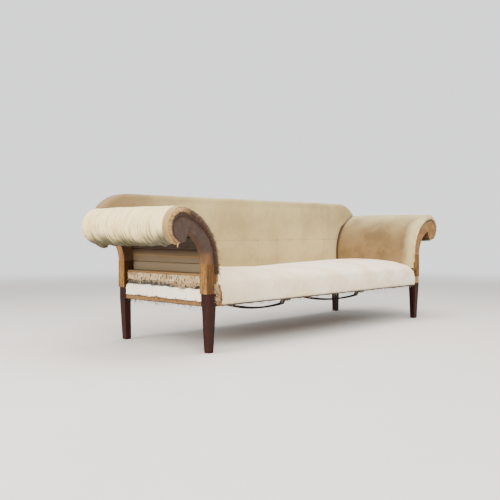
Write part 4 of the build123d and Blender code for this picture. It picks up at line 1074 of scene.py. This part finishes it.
def back_outline(count=400):
    """Outline from the right foot over the top to the left foot, evenly spaced, and its outward directions.

    The arc of the arm's lining and the arc of the corner meet where two circles cross. The back reaches into
    the lining by BACK_LAP, so that no gap shows.
    """
    low_x = POST_X - BACK_LINING
    reach, rise = ROLL_X - low_x, ROLL_Z - POST_TOP
    arm_r = (reach**2 + rise**2 - BACK_ROLL_R**2) / (2 * (reach - BACK_ROLL_R))
    arm_x, corner_z = low_x + arm_r, BACK_TOP - CORNER_R
    arm_r, gap_x, gap_z = arm_r - BACK_LAP, CORNER_X - arm_x, corner_z - POST_TOP
    gap = math.hypot(gap_x, gap_z)
    along = (gap**2 + arm_r**2 - CORNER_R**2) / (2 * gap)
    side = math.sqrt(arm_r**2 - along**2)
    cross_x = arm_x + (along * gap_x + side * gap_z) / gap
    cross_z = POST_TOP + (along * gap_z - side * gap_x) / gap
    turn = np.linspace(np.pi, math.atan2(cross_z - POST_TOP, cross_x - arm_x), 200)
    bend = np.linspace(math.atan2(cross_z - corner_z, cross_x - CORNER_X), np.pi / 2, 200)
    arm = joined(arm_x + arm_r * np.cos(turn), POST_TOP + arm_r * np.sin(turn))
    corner = joined(CORNER_X + CORNER_R * np.cos(bend), corner_z + CORNER_R * np.sin(bend))
    half = np.concatenate([[[arm_x - arm_r, BACK_FOOT]], arm, corner, [[0, BACK_TOP]]])
    line, even = evenly(np.concatenate([half, half[-2::-1] * [-1, 1]]), count)
    for _ in range(2):
        line[1:-1] = (line[:-2] + 2 * line[1:-1] + line[2:]) / 4
    ahead = np.gradient(line, axis=0)
    for _ in range(8):
        ahead[1:-1] = (ahead[:-2] + 2 * ahead[1:-1] + ahead[2:]) / 4
    ahead /= np.linalg.norm(ahead, axis=1, keepdims=True)
    return line, joined(ahead[:, 1], -ahead[:, 0]), even / even[-1] * 2 - 1


def lean_back(points):
    """Turns points about the line along the back's foot by the lean of the back."""
    y, z = points[..., 1] - BACK_REAR, points[..., 2] - BACK_PIVOT_Z
    c, s = math.cos(BACK_LEAN), math.sin(BACK_LEAN)
    return joined(points[..., 0], BACK_REAR + y * c + z * s + MIDDLE_Y, BACK_PIVOT_Z - y * s + z * c)


# %% Surface of the back
# Threads from the pointed upper corners lean far inward, so that none cuts through the round of the arm.
FOOT_SHARES, FOOT_XS = (0.0, 0.66, 0.70, 0.76, 1.0), (0.0, 0.42, 0.47, 0.64, 0.86)


def back_points(face=70, edge=14, wrap=12):
    """Rows along the outline; columns from the foot over the face, round the edge and back to the frame."""
    line, out, share = back_outline()
    foot_x = -np.sign(share) * np.interp(np.abs(share), FOOT_SHARES, FOOT_XS)
    foot = joined(foot_x, BACK_FOOT)
    k = run(0, 1, face)[None, :]
    flat = foot[:, None] + (line - EDGE_IN * out - foot)[:, None] * k[..., None]
    x, z = flat[..., 0], flat[..., 1]
    creases = 0.0022 * rough_hills(x / 0.24, z / 0.16, 41) + 0.0006 * rough_hills(x / 0.05, z / 0.06, 44)
    creases = creases - 0.0016 * np.exp(-(((z - SEAM_Z) / 0.006) ** 2))
    swell = 0.005 * np.sin(np.pi * k) + creases * np.sin(np.pi * (0.15 + 0.85 * k))
    sheet = joined(x, BACK_FACE - swell, z)
    turn = run(0, np.pi / 2, edge)[None, :]
    rim = line[:, None] - EDGE_IN * (1 - np.sin(turn))[..., None] * out[:, None]
    curl = joined(rim[..., 0], BACK_FACE + EDGE_DEEP * (1 - np.cos(turn)), rim[..., 1])
    rear = np.where(line[:, 1] > CREST_Z, BACK_WRAP, STUFFED_TO)[:, None]
    start = BACK_FACE + EDGE_DEEP
    behind = joined(line[:, :1], start + (rear - start) * np.linspace(0, 1, wrap)[None, :], line[:, 1:])
    tucked = line - TUCK_IN * out
    inner = joined(tucked[:, :1], rear, tucked[:, 1:])
    return lean_back(np.concatenate([sheet, curl, behind, inner], axis=1))


def back_stains(coords, colour):
    """Browner at the left, paler at the right, and joins where the linen was pieced."""
    x, y, z = split(coords["Object"])
    left = 1 - ease(noise(coords["Object"], 7.0, 5.0) * 0.5 + x, -0.85, -0.10)
    colour = mix(left * 0.8, colour, rgb(116, 90, 57))
    right = ease(x, -0.1, 0.5) * ease(z, 0.70, 0.48)
    colour = mix(right * 0.5, colour, rgb(208, 188, 136))
    waver = noise(coords["Object"], 22.0, 3.0) * 0.004 - 0.002
    rise = z + waver - SEAM_Z
    line, spots = 1 - ease(abs(rise), 0.0008, 0.0022), 0.0
    for seam_x in SEAMS_X:
        aside = abs(x + waver - seam_x)
        down = 1 - ease(aside, 0.0012, 0.0032)
        line = calc("MAXIMUM", line, down * (rise < 0.0))
        spots = calc("MAXIMUM", spots, 1 - ease(calc("MAXIMUM", aside, abs(rise)), 0.003, 0.006))
    face = y < BACK_FACE + 0.012
    faint = noise(coords["Object"], 13.0, 3.0) * 0.9
    colour = mix(line * faint * face, colour, rgb(112, 92, 56))
    return mix(spots * 0.7 * face, colour, rgb(84, 64, 40))


# %% Make the back
LINEN = cloth("back_linen", rgb(180, 162, 114), rgb(160, 140, 94), pitch=0.0009, patch=0.30,
              paint=back_stains)
back_grid = back_points()
back_mesh = grid_mesh("back_stuffing", back_grid, back_grid[..., ::2].copy())
back = settle("back_stuffing", back_mesh, LINEN, ("back_pad", "back_cover"))
x, y, z = np.array([v.co[:] for v in back.data.vertices]).T
free = (y < BACK_FACE + 0.02) * smooth(z, BACK_FOOT + 0.02, BACK_FOOT + 0.07)
free = free * (1 - smooth(z, BACK_TOP - 0.06, BACK_TOP - 0.02)) * (1 - smooth(np.abs(x), 0.78, 0.86))
settle_cloth(back, 1 - free, pressure=1.5, slack=0.003, cap=0.008)

# %% [markdown]
# ## Cloth turned over the scroll faces
#
# At the front of each arm the lining was pulled over the edge of the stuffing and tacked to the scroll
# board. On the left the old cloth is brown, raw and frayed, and it covers a broad margin of the face. On
# the right it stops at the edge of the board. Both are bands between the rounded edge of the lining and a
# ragged line on the timber.


# %% Band on a scroll face
BAND_THICK = 0.0012


def face_band(side, neck, nose, ragged, end, material):
    """Points from the lining's edge (k = 0) to a ragged line on the board (k = 1), bulged forward between."""
    share = np.concatenate([run(0.45, 1, 40), 1 + run(0, 1, 190), 2 + np.linspace(0, 1, 200)])[:, None]
    k = np.linspace(0, 1, 22)[None, :]
    edge_x, edge_z, edge_ox, edge_oz = arm_section(share, POST_X - LINING[0], ROLL_X, ROLL_Z, ROLL_RS[0],
                                                   end=end)
    wood_x, wood_z, wood_ox, wood_oz = arm_section(share, POST_X, NOSE_X, NOSE_Z, NOSE_R, end=end)
    rag = 0.6 * soft_hills(share * 14, 0, 51) + 0.5 * soft_hills(share * 60, 0, 52)
    hem = neck + (nose - neck) * smooth(share, 1.6, 2.0) + ragged * rag
    start_x, start_z = edge_x - 0.0035 * edge_ox, edge_z - 0.0035 * edge_oz
    x = start_x + (wood_x - hem * wood_ox - start_x) * k
    z = start_z + (wood_z - hem * wood_oz - start_z) * k
    crumple = 0.0018 * rough_hills(share * 30, k * 4, 53) * np.sin(np.pi * np.clip(k * 0.9, 0, 1))
    y = FACE_Y - 0.0016 - 0.0055 * np.sin(np.pi * np.minimum(k / 0.85, 1)) + 0.007 * (1 - k) ** 4 - crumple
    points, name = joined(side * x, y, z), "scroll_band_" + SIDE_WORD[side]
    mesh = grid_mesh(name, points, joined(share * SHARE_LENGTH, k * 0.05), flip=side > 0)
    thicken(settle(name, mesh, material), BAND_THICK)
    return points


def raw_band(coords, colour):
    """Golden round the nose, dark along the neck; the scroll's stain has run over the inner edge."""
    round_arm, across, _ = split(coords["UV"])
    fibre = noise(stretch(coords["UV"], (420.0, 45.0, 1.0)), 1.0, 4.0, 0.65)
    neck = 1 - ease(fibre * 0.05 + round_arm, 0.53, 0.60)
    colour = mix(neck, colour, rgb(62, 39, 22))
    colour = mix(ease(fibre, 0.45, 0.66), colour, rgb(48, 29, 17))
    pale = ease(noise(coords["UV"], 120.0, 4.0), 0.60, 0.72)
    colour = mix(pale * 0.6, colour, rgb(200, 158, 98))
    round_nose = ease(round_arm, 0.50, 0.56)
    past = fibre * 0.008 + across - (round_nose * -0.017 + 0.044)
    colour = mix(ease(past, 0.0, 0.004) * 0.92, colour, rgb(36, 21, 14))
    stained = ease(past, 0.008, 0.013) * round_nose
    colour = mix(stained * 0.9, colour, mix(fibre, rgb(37, 25, 19), rgb(71, 50, 38)))
    holes = use(PRICKS, {"Vector": coords["Object"], "Spacing": 0.011, "Size": 0.0016})
    return mix(holes["Mask"], colour, rgb(34, 20, 14))


def crevice_shade_line(coords, colour):
    """Painted shade: a dark line in the crevice where the turned edge meets the timber."""
    across = split(coords["UV"])[1]
    return mix(ease(across, 0.03, 0.042) * 0.9, colour, rgb(38, 30, 20))


RAW_BAND = cloth("raw_scroll_band", rgb(184, 148, 92), rgb(130, 96, 56), pitch=0.0013, patch=0.05,
                 paint=raw_band)
EDGE_BAND = cloth("turned_edge", rgb(206, 184, 134), rgb(172, 142, 94), pitch=0.0011, patch=0.05,
                  paint=crevice_shade_line)
band_points = face_band(-1, neck=0.011, nose=0.0035, ragged=0.0030, end=TORN_END, material=RAW_BAND)
face_band(1, neck=-0.0035, nose=-0.002, ragged=0.0012, end=ROLL_END, material=EDGE_BAND)

# %% [markdown]
# ### A loose tail
#
# Below the left nose one end of the torn band hangs free. A simulation could drop it, but it is a scrap of
# known length, so the last row of the band is simply carried down, narrowed and swung a little by two
# sines.


# %% Loose tail under the nose
def band_tail(top, drop):
    """A torn ribbon: the end of the band carried down by drop, narrowing and curling as it goes."""
    t = np.linspace(0, 1, 24)[:, None, None]
    middle = top.mean(axis=0)
    narrow = middle + (top - middle)[None] * (1 - 0.75 * t)
    sway = np.concatenate([0.004 * np.sin(5 * t), 0.003 * np.sin(4 * t + 1) - 0.003 * t, -drop * t], axis=-1)
    uv = joined(0.81 - 0.03 * t[..., 0], np.linspace(0.004, 0.018, len(top))[None, :])
    piece = settle("band_tail", grid_mesh("band_tail", narrow + sway, uv), RAW_BAND)
    thicken(piece, BAND_THICK)


band_tail(band_points[-1, 1:14], drop=0.026)

# %% [markdown]
# ## Tacking strips and side calico
#
# Under each arm a rail carries a strip of hessian that is full of old tack holes, with a torn flap that
# hangs below it. Lower down, white calico comes out from under the seat, slopes over the side rail and is
# tacked to its outside face in a ragged line. Both are sheets: one parameter runs along the depth and one
# round the fold.


# %% Hessian strip
STRIP_THICK = 0.0011


def tack_strip(side):
    """A strip flat on the rail that goes on below it as a flap; the flap swings outward as it hangs."""
    y = np.linspace(CLEAR_FRONT, CLEAR_REAR, 300)[:, None]
    front = smooth(-y, -0.05, 0.10)
    hang = 0.005 + front * (0.010 + 0.012 * np.exp(-(((y + 0.16) / 0.07) ** 2)))
    hang = hang + 0.004 * soft_hills(y / 0.03, 0, 61) + 0.0025 * soft_hills(y / 0.006, 0, 62)
    top = STRIP_HIGH[2] - 0.010
    flat = top - STRIP_LOW[2]
    down = np.linspace(0, 1, 40)[None, :] * (flat + hang)
    below = np.maximum(down - flat, 0)
    x = STRIP_HIGH[0] + 0.0014 + 0.0008 * rough_hills(y / 0.03, down / 0.02, 63) * smooth(down, 0.0, 0.01)
    x = x + 0.55 * below * (0.7 + 0.5 * soft_hills(y / 0.04, 0, 64))
    points = joined(side * np.maximum(x, STRIP_HIGH[0] + 0.0009), y, top - down)
    word = SIDE_WORD[side]
    mesh = grid_mesh("tack_strip_" + word, points, joined(y, down), flip=side < 0)
    piece = settle("tack_strip_" + word, mesh, STRIP_CLOTH)
    thicken(piece, STRIP_THICK)
    return points


def strip_holes(coords, colour):
    """Rows of dark torn tack holes, longer than wide, with rust round them, and a dirty lower edge."""
    drawn = stretch(coords["Object"], (1.0, 1.35, 0.6))
    hole, halo = (use(PRICKS, {"Vector": drawn, "Spacing": 0.0155, "Size": size})["Mask"]
                  for size in (0.0047, 0.0062))
    low = ease(split(coords["UV"])[1], 0.028, 0.044)
    colour = mix(low * 0.5, colour, rgb(110, 80, 46))
    colour = mix(halo * 0.5, colour, rgb(112, 78, 46))
    return mix(hole * 0.95, colour, rgb(26, 16, 11))


STRIP_CLOTH = cloth("strip_hessian", rgb(206, 181, 140), rgb(166, 134, 92), pitch=0.0019, patch=0.05,
                    bump=0.6, paint=strip_holes)
strip_points, strip_right_points = tack_strip(-1), tack_strip(1)


# %% Side calico
TACK_STEP, SIDE_HALF, CALICO_THICK = 0.074, 0.2955, 0.0010


def side_fold():
    """The fold in x and z, from the tacked edge up the rail's face and in under the arm, evenly spaced."""
    marks = np.array([(0.9702, 0.2450), (0.9703, 0.2660), (0.9704, 0.2800), (0.9690, 0.2895),
                      (0.9640, 0.2985), (0.9540, 0.3105), (0.9420, 0.3220), (0.9280, 0.3318)])
    return evenly(marks, 46)


def side_calico(side):
    """The fold carried along the depth: a ragged tacked edge, pulls at each tack and soft bulges above."""
    fold, length = side_fold()
    y = MIDDLE_Y + np.linspace(-SIDE_HALF, SIDE_HALF, 300)[:, None]
    pull = np.abs(np.sin(np.pi * (y - MIDDLE_Y) / TACK_STEP))
    tear = 0.0028 * soft_hills(y / 0.05, 0, 71) + 0.0016 * soft_hills(y / 0.006, 0, 72) - 0.0012 * pull
    low = np.exp(-(length / 0.012) ** 2)[None, :]
    swell = 0.0022 * rough_hills(y / 0.07, length[None, :] / 0.03, 73) + 0.001
    bulge = smooth(length, 0.02, 0.05)[None, :] * swell
    crease = 0.0007 * pull * (1 - smooth(length, 0.01, 0.045))[None, :]
    x = fold[:, 0][None, :] + 0.75 * bulge + crease + 0.0006 * low * soft_hills(y / 0.012, 0, 74)
    z = fold[:, 1][None, :] + 0.66 * bulge - tear * low
    points, word = joined(side * x, y, z), SIDE_WORD[side]
    mesh = grid_mesh("side_calico_" + word, points, joined(y, length[None, :]), flip=side < 0)
    piece = settle("side_calico_" + word, mesh, SIDE_CALICO, ("calico_flap_" + word,))
    thicken(piece, CALICO_THICK)
    return points


def rust_edge_and_flap_shadow(coords, colour):
    """Rusty brown along the tacked lower edge, and painted shadow along the top, under the hessian flap of
    the arm.
    """
    along = split(coords["UV"])[1]
    edge = noise(coords["UV"], 130.0, 4.0) * 0.008 + along
    colour = mix(1 - ease(edge, 0.0045, 0.0085), colour, rgb(92, 62, 34))
    # Painted shadow under the hanging flap of the hessian strip.
    under = noise(coords["UV"], 14.0, 3.0) * 0.03 + along
    return mix(ease(under, 0.073, 0.078) * 0.95, colour, rgb(26, 17, 11))


SIDE_CALICO = cloth("side_calico", rgb(252, 246, 234), rgb(240, 226, 202), pitch=0.0007, patch=0.10,
                    paint=rust_edge_and_flap_shadow)
calico_points, calico_right_points = side_calico(-1), side_calico(1)

# %% [markdown]
# ## Webs, springs and hessian
#
# Under the stuffing is the part that carries weight. Webs are tacked under the rails and woven over and
# under, springs stand where they cross, and hessian lies over the springs. A second set of webs and a
# hessian sheet carry the back. They show from below and from behind. A web is a flat ribbon along a path; a
# spring is a round wire along a helix with a waist.


# %% Webs
WEB_WIDE, WEB_THICK, WEB_Z = 0.050, 0.0024, 0.22075
WEB_PITCH = 0.28
WEB_COLUMNS = (np.arange(6) - 2.5) * WEB_PITCH
WEB_ROWS = np.array([-0.115, 0.125]) + MIDDLE_Y
WEB_STEP, ROW_PITCH = 0.0027, 0.24
WEB_ENDS, WEB_HALF = (-0.330, 0.340), 0.961
BACK_SPAN, BACK_WEB_Y, BACK_WEB_PITCH = (0.345, 0.738), 0.30255, 0.25


def web_grid(path, across):
    """A ribbon: each point of the path spread across the width, with edges a little worn in."""
    wide = np.linspace(-0.5, 0.5, 7) * WEB_WIDE
    wear = 1 + 0.015 * soft_hills(np.arange(len(path)) / 4.0, 0, 81)
    return path[:, None] + (wide[None, :] * wear[:, None])[..., None] * np.array(across)


def web_uv(path):
    """Along and across the ribbon, in metres."""
    return joined(distances(path)[:, None], np.linspace(0, WEB_WIDE, 7)[None, :])


def cross_path(x):
    """Straight from the front rail to the rear rail."""
    return joined(x, MIDDLE_Y + np.linspace(*WEB_ENDS, 60), WEB_Z)


def long_path(y, turn):
    """From side rail to side rail, over and under each cross web: a cosine at the pitch of the columns."""
    x = np.linspace(-WEB_HALF, WEB_HALF, 220)
    wave = np.cos(np.pi * (x - WEB_COLUMNS[0]) / WEB_PITCH) * (1 - smooth(np.abs(x), 0.80, 0.88))
    return joined(x, y, WEB_Z + turn * WEB_STEP * wave)


def back_path(x):
    """Up the back frame, behind the hessian."""
    return lean_back(joined(x, BACK_WEB_Y, np.linspace(*BACK_SPAN, 40)))


def web_set(name, paths, across, node):
    """One piece of several webs, in place of a node."""
    grids = np.array([web_grid(path, across) for path in paths])
    uvs = np.array([web_uv(path) for path in paths])
    thicken(settle(name, grid_mesh(name, grids, uvs), JUTE, (node,)), WEB_THICK)


def web_lines(coords, colour):
    """Darker lines along a web, as the warp of jute webbing has."""
    across = split(coords["UV"])[1]
    wave = calc("SINE", across * (2 * math.pi / 0.0071))
    return mix(ease(wave, 0.3, 0.9) * 0.35, colour, rgb(96, 70, 44))


JUTE = cloth("jute_web", rgb(146, 106, 60), rgb(108, 76, 42), pitch=0.0022, patch=0.10, bump=0.7,
             paint=web_lines)
web_set("seat_webs_cross", [cross_path(x) for x in WEB_COLUMNS], (1, 0, 0), "seat_cross_webs")
web_set("seat_webs_long", [long_path(y, 1 - 2 * i) for i, y in enumerate(WEB_ROWS)], (0, 1, 0),
        "seat_long_webs")
web_set("back_webbing", [back_path(x) for x in np.arange(-3, 4) * BACK_WEB_PITCH], (1, 0, 0), "back_webs")


# %% Springs
SPRING_TURNS, WIRE_R, WAIST_R, FLARE = 4.0, 0.002, 0.030, 0.014
SPRING_FOOT, SPRING_HEAD = 0.2243, 0.3245


def wire_grid(path, radius, sides=8):
    """A round tube: a ring of points across each point of the path, closed to a point at both ends."""
    ahead = np.gradient(path, axis=0)
    ahead /= np.linalg.norm(ahead, axis=1, keepdims=True)
    side = np.cross(ahead, [0, 0, 1.0])
    side /= np.maximum(np.linalg.norm(side, axis=1, keepdims=True), 1e-9)
    up = np.cross(side, ahead)
    turn = run(0, 2 * np.pi, sides)[None, :, None]
    size = np.full(len(path), radius)[:, None, None]
    size[[0, -1]] = 0
    return path[:, None] + size * (np.cos(turn) * side[:, None] + np.sin(turn) * up[:, None])


def spring_path(x, y, foot):
    """A helix with a waist: the radius is wide at both ends and the rise starts and ends flat."""
    s = np.linspace(0, 1, 200)
    radius = WAIST_R + FLARE * (2 * s - 1) ** 2
    rise = s - np.sin(2 * np.pi * s) / (2 * np.pi)
    turn = 2 * np.pi * SPRING_TURNS * s
    return joined(x + radius * np.cos(turn), y + radius * np.sin(turn), foot + (SPRING_HEAD - foot) * rise)


stands = [(x, y, SPRING_FOOT + WIRE_R + (WEB_STEP if (i + j) % 2 == 0 else 0))
          for i, y in enumerate(WEB_ROWS) for j, x in enumerate(WEB_COLUMNS)]
coils = [wire_grid(spring_path(*stand), WIRE_R) for stand in stands]
coil_mesh = normals_out(grid_mesh("seat_coils", np.array(coils), loop_columns=True))
settle("seat_coils", coil_mesh, SPRING_STEEL, ("seat_springs",))


# %% Hessian sheets
SEAT_SHEET_Z, SEAT_SHEET_HALF, SEAT_SHEET_ENDS = 0.3286, 0.875, (-0.294, 0.2447)
BACK_SHEET_Y, BACK_SHEET_HALF = 0.3005, 0.892


def seat_hessian():
    """A level sheet over the springs, dipping slightly between them."""
    x = np.linspace(-SEAT_SHEET_HALF, SEAT_SHEET_HALF, 180)[None, :]
    y = MIDDLE_Y + np.linspace(*SEAT_SHEET_ENDS, 60)[:, None]
    between = np.cos(np.pi * x / WEB_PITCH) ** 2 * np.cos(np.pi * (y - WEB_ROWS[0]) / ROW_PITCH) ** 2
    return joined(x, y, SEAT_SHEET_Z - 0.0012 * between + 0.0005 * rough_hills(x / 0.06, y / 0.06, 91))


def back_hessian():
    """A flat sheet on the front of the back frame, leaned with it."""
    x = np.linspace(-BACK_SHEET_HALF, BACK_SHEET_HALF, 180)[None, :]
    z = np.linspace(*BACK_SPAN, 60)[:, None]
    return lean_back(joined(x, BACK_SHEET_Y + 0.0003 * rough_hills(x / 0.08, z / 0.08, 93), z))


HESSIAN = cloth("hessian", rgb(160, 122, 72), rgb(126, 92, 50), pitch=0.0021, patch=0.15, bump=0.6)
under = seat_hessian()
under_mesh = grid_mesh("seat_hessian_sheet", under, under[..., :2].copy())
under_sheet = settle("seat_hessian_sheet", under_mesh, HESSIAN, ("seat_hessian",))
behind = back_hessian()
behind_mesh = grid_mesh("back_hessian_sheet", behind, behind[..., ::2].copy())
behind_sheet = settle("back_hessian_sheet", behind_mesh, HESSIAN, ("back_hessian",))
print("springs", len(stands), "sheets", [under_sheet.name, behind_sheet.name])

# %% [markdown]
# ## Tacks and frayed threads
#
# Old tacks still hold the torn edges, and every cut edge has lost threads. A tack head is a low dome, set
# in the direction that its surface faces. A thread is a thin tube along a bent path that hangs. Each kind
# is one mesh, worked out for all copies at once.


# %% Tack heads
def tack_heads(name, places, facing, radius):
    """Low domes: rings of eight points at shares of the radius and height, set on each place."""
    turn = run(0, 2 * np.pi, 8)[None, None, :, None]
    rings = np.array([(1.0, -0.3), (1.0, 0.10), (0.75, 0.38), (0.35, 0.52), (0.0, 0.55)])
    facing = np.broadcast_to(np.asarray(facing, float), places.shape)
    side = np.cross(facing, [0.31, 0.2, 0.93])
    side /= np.linalg.norm(side, axis=1, keepdims=True)
    up = np.cross(facing, side)
    flat = np.cos(turn) * side[:, None, None] + np.sin(turn) * up[:, None, None]
    raised = rings[None, :, 1:, None] * facing[:, None, None]
    domes = places[:, None, None] + radius * (rings[None, :, :1, None] * flat + raised)
    settle(name, normals_out(grid_mesh(name, domes, loop_columns=True)), TACK_STEEL)


OUTWARD, TACK_LIFT = [1.0, 0, 0], 0.0008
RAIL_TACK_X, RAIL_TACK_Z = 0.9712, 0.2525
tack_y = MIDDLE_Y + (np.arange(8) - 3.5) * TACK_STEP
rail_tacks = np.array([(side * RAIL_TACK_X, y, RAIL_TACK_Z) for side in (-1, 1) for y in tack_y])
tack_heads("side_rail_tacks", rail_tacks, np.sign(rail_tacks[:, :1]) * OUTWARD, radius=0.0036)
band_tacks = band_points[24:-20:26, 17] + [0, -TACK_LIFT, 0]
tack_heads("scroll_band_tacks", band_tacks, (0, -1.0, 0), radius=0.0030)
strip_tacks = np.concatenate([strip_points[12::31, 6], strip_right_points[12::31, 6]])
strip_out = np.sign(strip_tacks[:, :1]) * OUTWARD
tack_heads("tack_strip_tacks", strip_tacks + TACK_LIFT * strip_out, strip_out, radius=0.0030)


# %% Frayed threads
def thread_paths(starts, lean, length, seed):
    """Bent paths: each goes off in its lean direction, wanders, and is drawn down as it gets longer."""
    rng = np.random.default_rng(seed)
    count = len(starts)
    s = np.linspace(0, 1, 9)[None, :, None]
    reach = length * rng.uniform(0.35, 1.0, (count, 1, 1))
    way = np.asarray(lean, float) + rng.normal(0, 0.35, (count, 1, 3))
    bend = rng.normal(0, 0.30, (count, 1, 3)) * s**2
    fall = np.array([0, 0, -0.55]) * s**2
    return starts[:, None] + reach * (way * s + bend + fall)


def fray(name, starts, lean, length, material, seed, radius=0.00045):
    """Thin tubes along the paths, in one mesh."""
    tubes = np.array([wire_grid(path, radius, 4) for path in thread_paths(starts, lean, length, seed)])
    settle(name, normals_out(grid_mesh(name, tubes, loop_columns=True)), material)


def pick(points, count, seed):
    """Some points of a line, chosen at random but the same each run."""
    chosen = np.random.default_rng(seed).integers(0, len(points), count)
    return points[chosen]


def thread_material(name, first, second):
    """Loose thread, its colour varying along its length."""
    made, shader, coords = start_material(name)
    tone = noise(coords["Object"], 240.0, 3.0)
    link(mix(tone, first, second), shader.inputs["Base Color"])
    link(tone * 0.1 + 0.85, shader.inputs["Roughness"])
    return made


BROWN_THREAD = thread_material("brown_thread", rgb(34, 21, 13), rgb(84, 54, 31))
PALE_THREAD = thread_material("pale_thread", rgb(226, 208, 172), rgb(170, 140, 96))
# Each row: the torn edge, how many threads, the way they lean, their length, colour, slot and seed.
FRAYED = {
    "band_fray": (band_points[:, -1], 300, (0.2, -0.25, 0.1), 0.012, BROWN_THREAD, "arm_lining", 101),
    "band_edge_fray": (band_points[:230, 2], 320, (0.55, -0.5, 0.1), 0.014, BROWN_THREAD, "arm_lining", 103),
    "strip_fray": (strip_points[:, -1], 170, (-0.2, 0, -0.6), 0.014, PALE_THREAD, "hessian", 105),
    "strip_fray_right": (strip_right_points[:, -1], 120, (0.2, 0, -0.6), 0.012, PALE_THREAD, "hessian", 107),
    "calico_fray": (calico_points[:, 0], 150, (-0.1, 0, -0.5), 0.010, BROWN_THREAD, "calico", 109),
    "calico_fray_right": (calico_right_points[:, 0], 120, (0.1, 0, -0.5), 0.010, BROWN_THREAD, "calico", 111),
    "seat_fray": (seat_grid[5, 6:-6], 200, (0, 0.1, -0.6), 0.011, PALE_THREAD, "calico", 113),
}
for name, (edge, count, lean, length, material, slot, seed) in FRAYED.items():
    fray(name, pick(edge, count, seed), lean, length, material, seed + 1)

# %% [markdown]
# ### Torn scraps
#
# Where the old covers were ripped off, shreds of cloth stay under the tacks: at the two front corners of
# the seat, where many layers met, and under the rails, where the dust cover was. They could be cut from a
# sheet, but so small they read as tufts. Each is a box filled with short threads that start at random
# places in it.


# %% Torn scraps and hanging threads
def scatter(low, high, count, seed):
    """Points spread evenly at random in a box."""
    return np.random.default_rng(seed).uniform(low, high, (count, 3))


BOARD_FACE = FACE_Y - 0.001
CORNER_Y = (BOARD_FACE, BOARD_FACE + 0.002)
SIDE_X, _, SIDE_Z = corners("side_seat_rail_left")[0]
# Each row: the box in x, y and z, how many threads, the way they lean, length, colour, slot, seed and radius.
TORN = {
    "corner_scraps": (((-0.935, -0.914), CORNER_Y, (0.235, 0.335)), 90, (0.35, -0.35, -0.1), 0.018,
                      PALE_THREAD, "calico", 121, 0.0006),
    "corner_tuft": (((-0.937, -0.914), CORNER_Y, (0.385, 0.425)), 110, (0.4, -0.35, -0.2), 0.018,
                    BROWN_THREAD, "arm_lining", 123, 0.0008),
    "right_corner_tuft": (((0.914, 0.935), CORNER_Y, (0.290, 0.330)), 46, (-0.1, -0.5, -0.2), 0.016,
                          BROWN_THREAD, "arm_lining", 125, 0.00045),
    "rail_threads": (((SIDE_X, SIDE_X + 0.012), (CLEAR_FRONT, CLEAR_REAR), (SIDE_Z, SIDE_Z)), 120,
                     (0, 0, -0.7), 0.016, BROWN_THREAD, "hessian", 127, 0.0006),
    "front_rail_threads": (((-0.9, 0.9), (SEAT_FACE + 0.008, SEAT_FACE + 0.02), (SEAT_UNDER, SEAT_UNDER)), 90,
                           (0, -0.1, -0.7), 0.013, BROWN_THREAD, "hessian", 129, 0.00045),
}
for name, (box, count, lean, length, material, slot, seed, radius) in TORN.items():
    fray(name, scatter(*zip(*box), count, seed), lean, length, material, seed + 1, radius)
long_ends = np.array([(x, SEAT_FACE + 0.012, SEAT_UNDER) for x in (0.475, 0.33, -0.12, 0.56)])
fray("hanging_threads", long_ends, (0, 0, -0.8), length=0.026, material=BROWN_THREAD,
     seed=132, radius=0.0007)
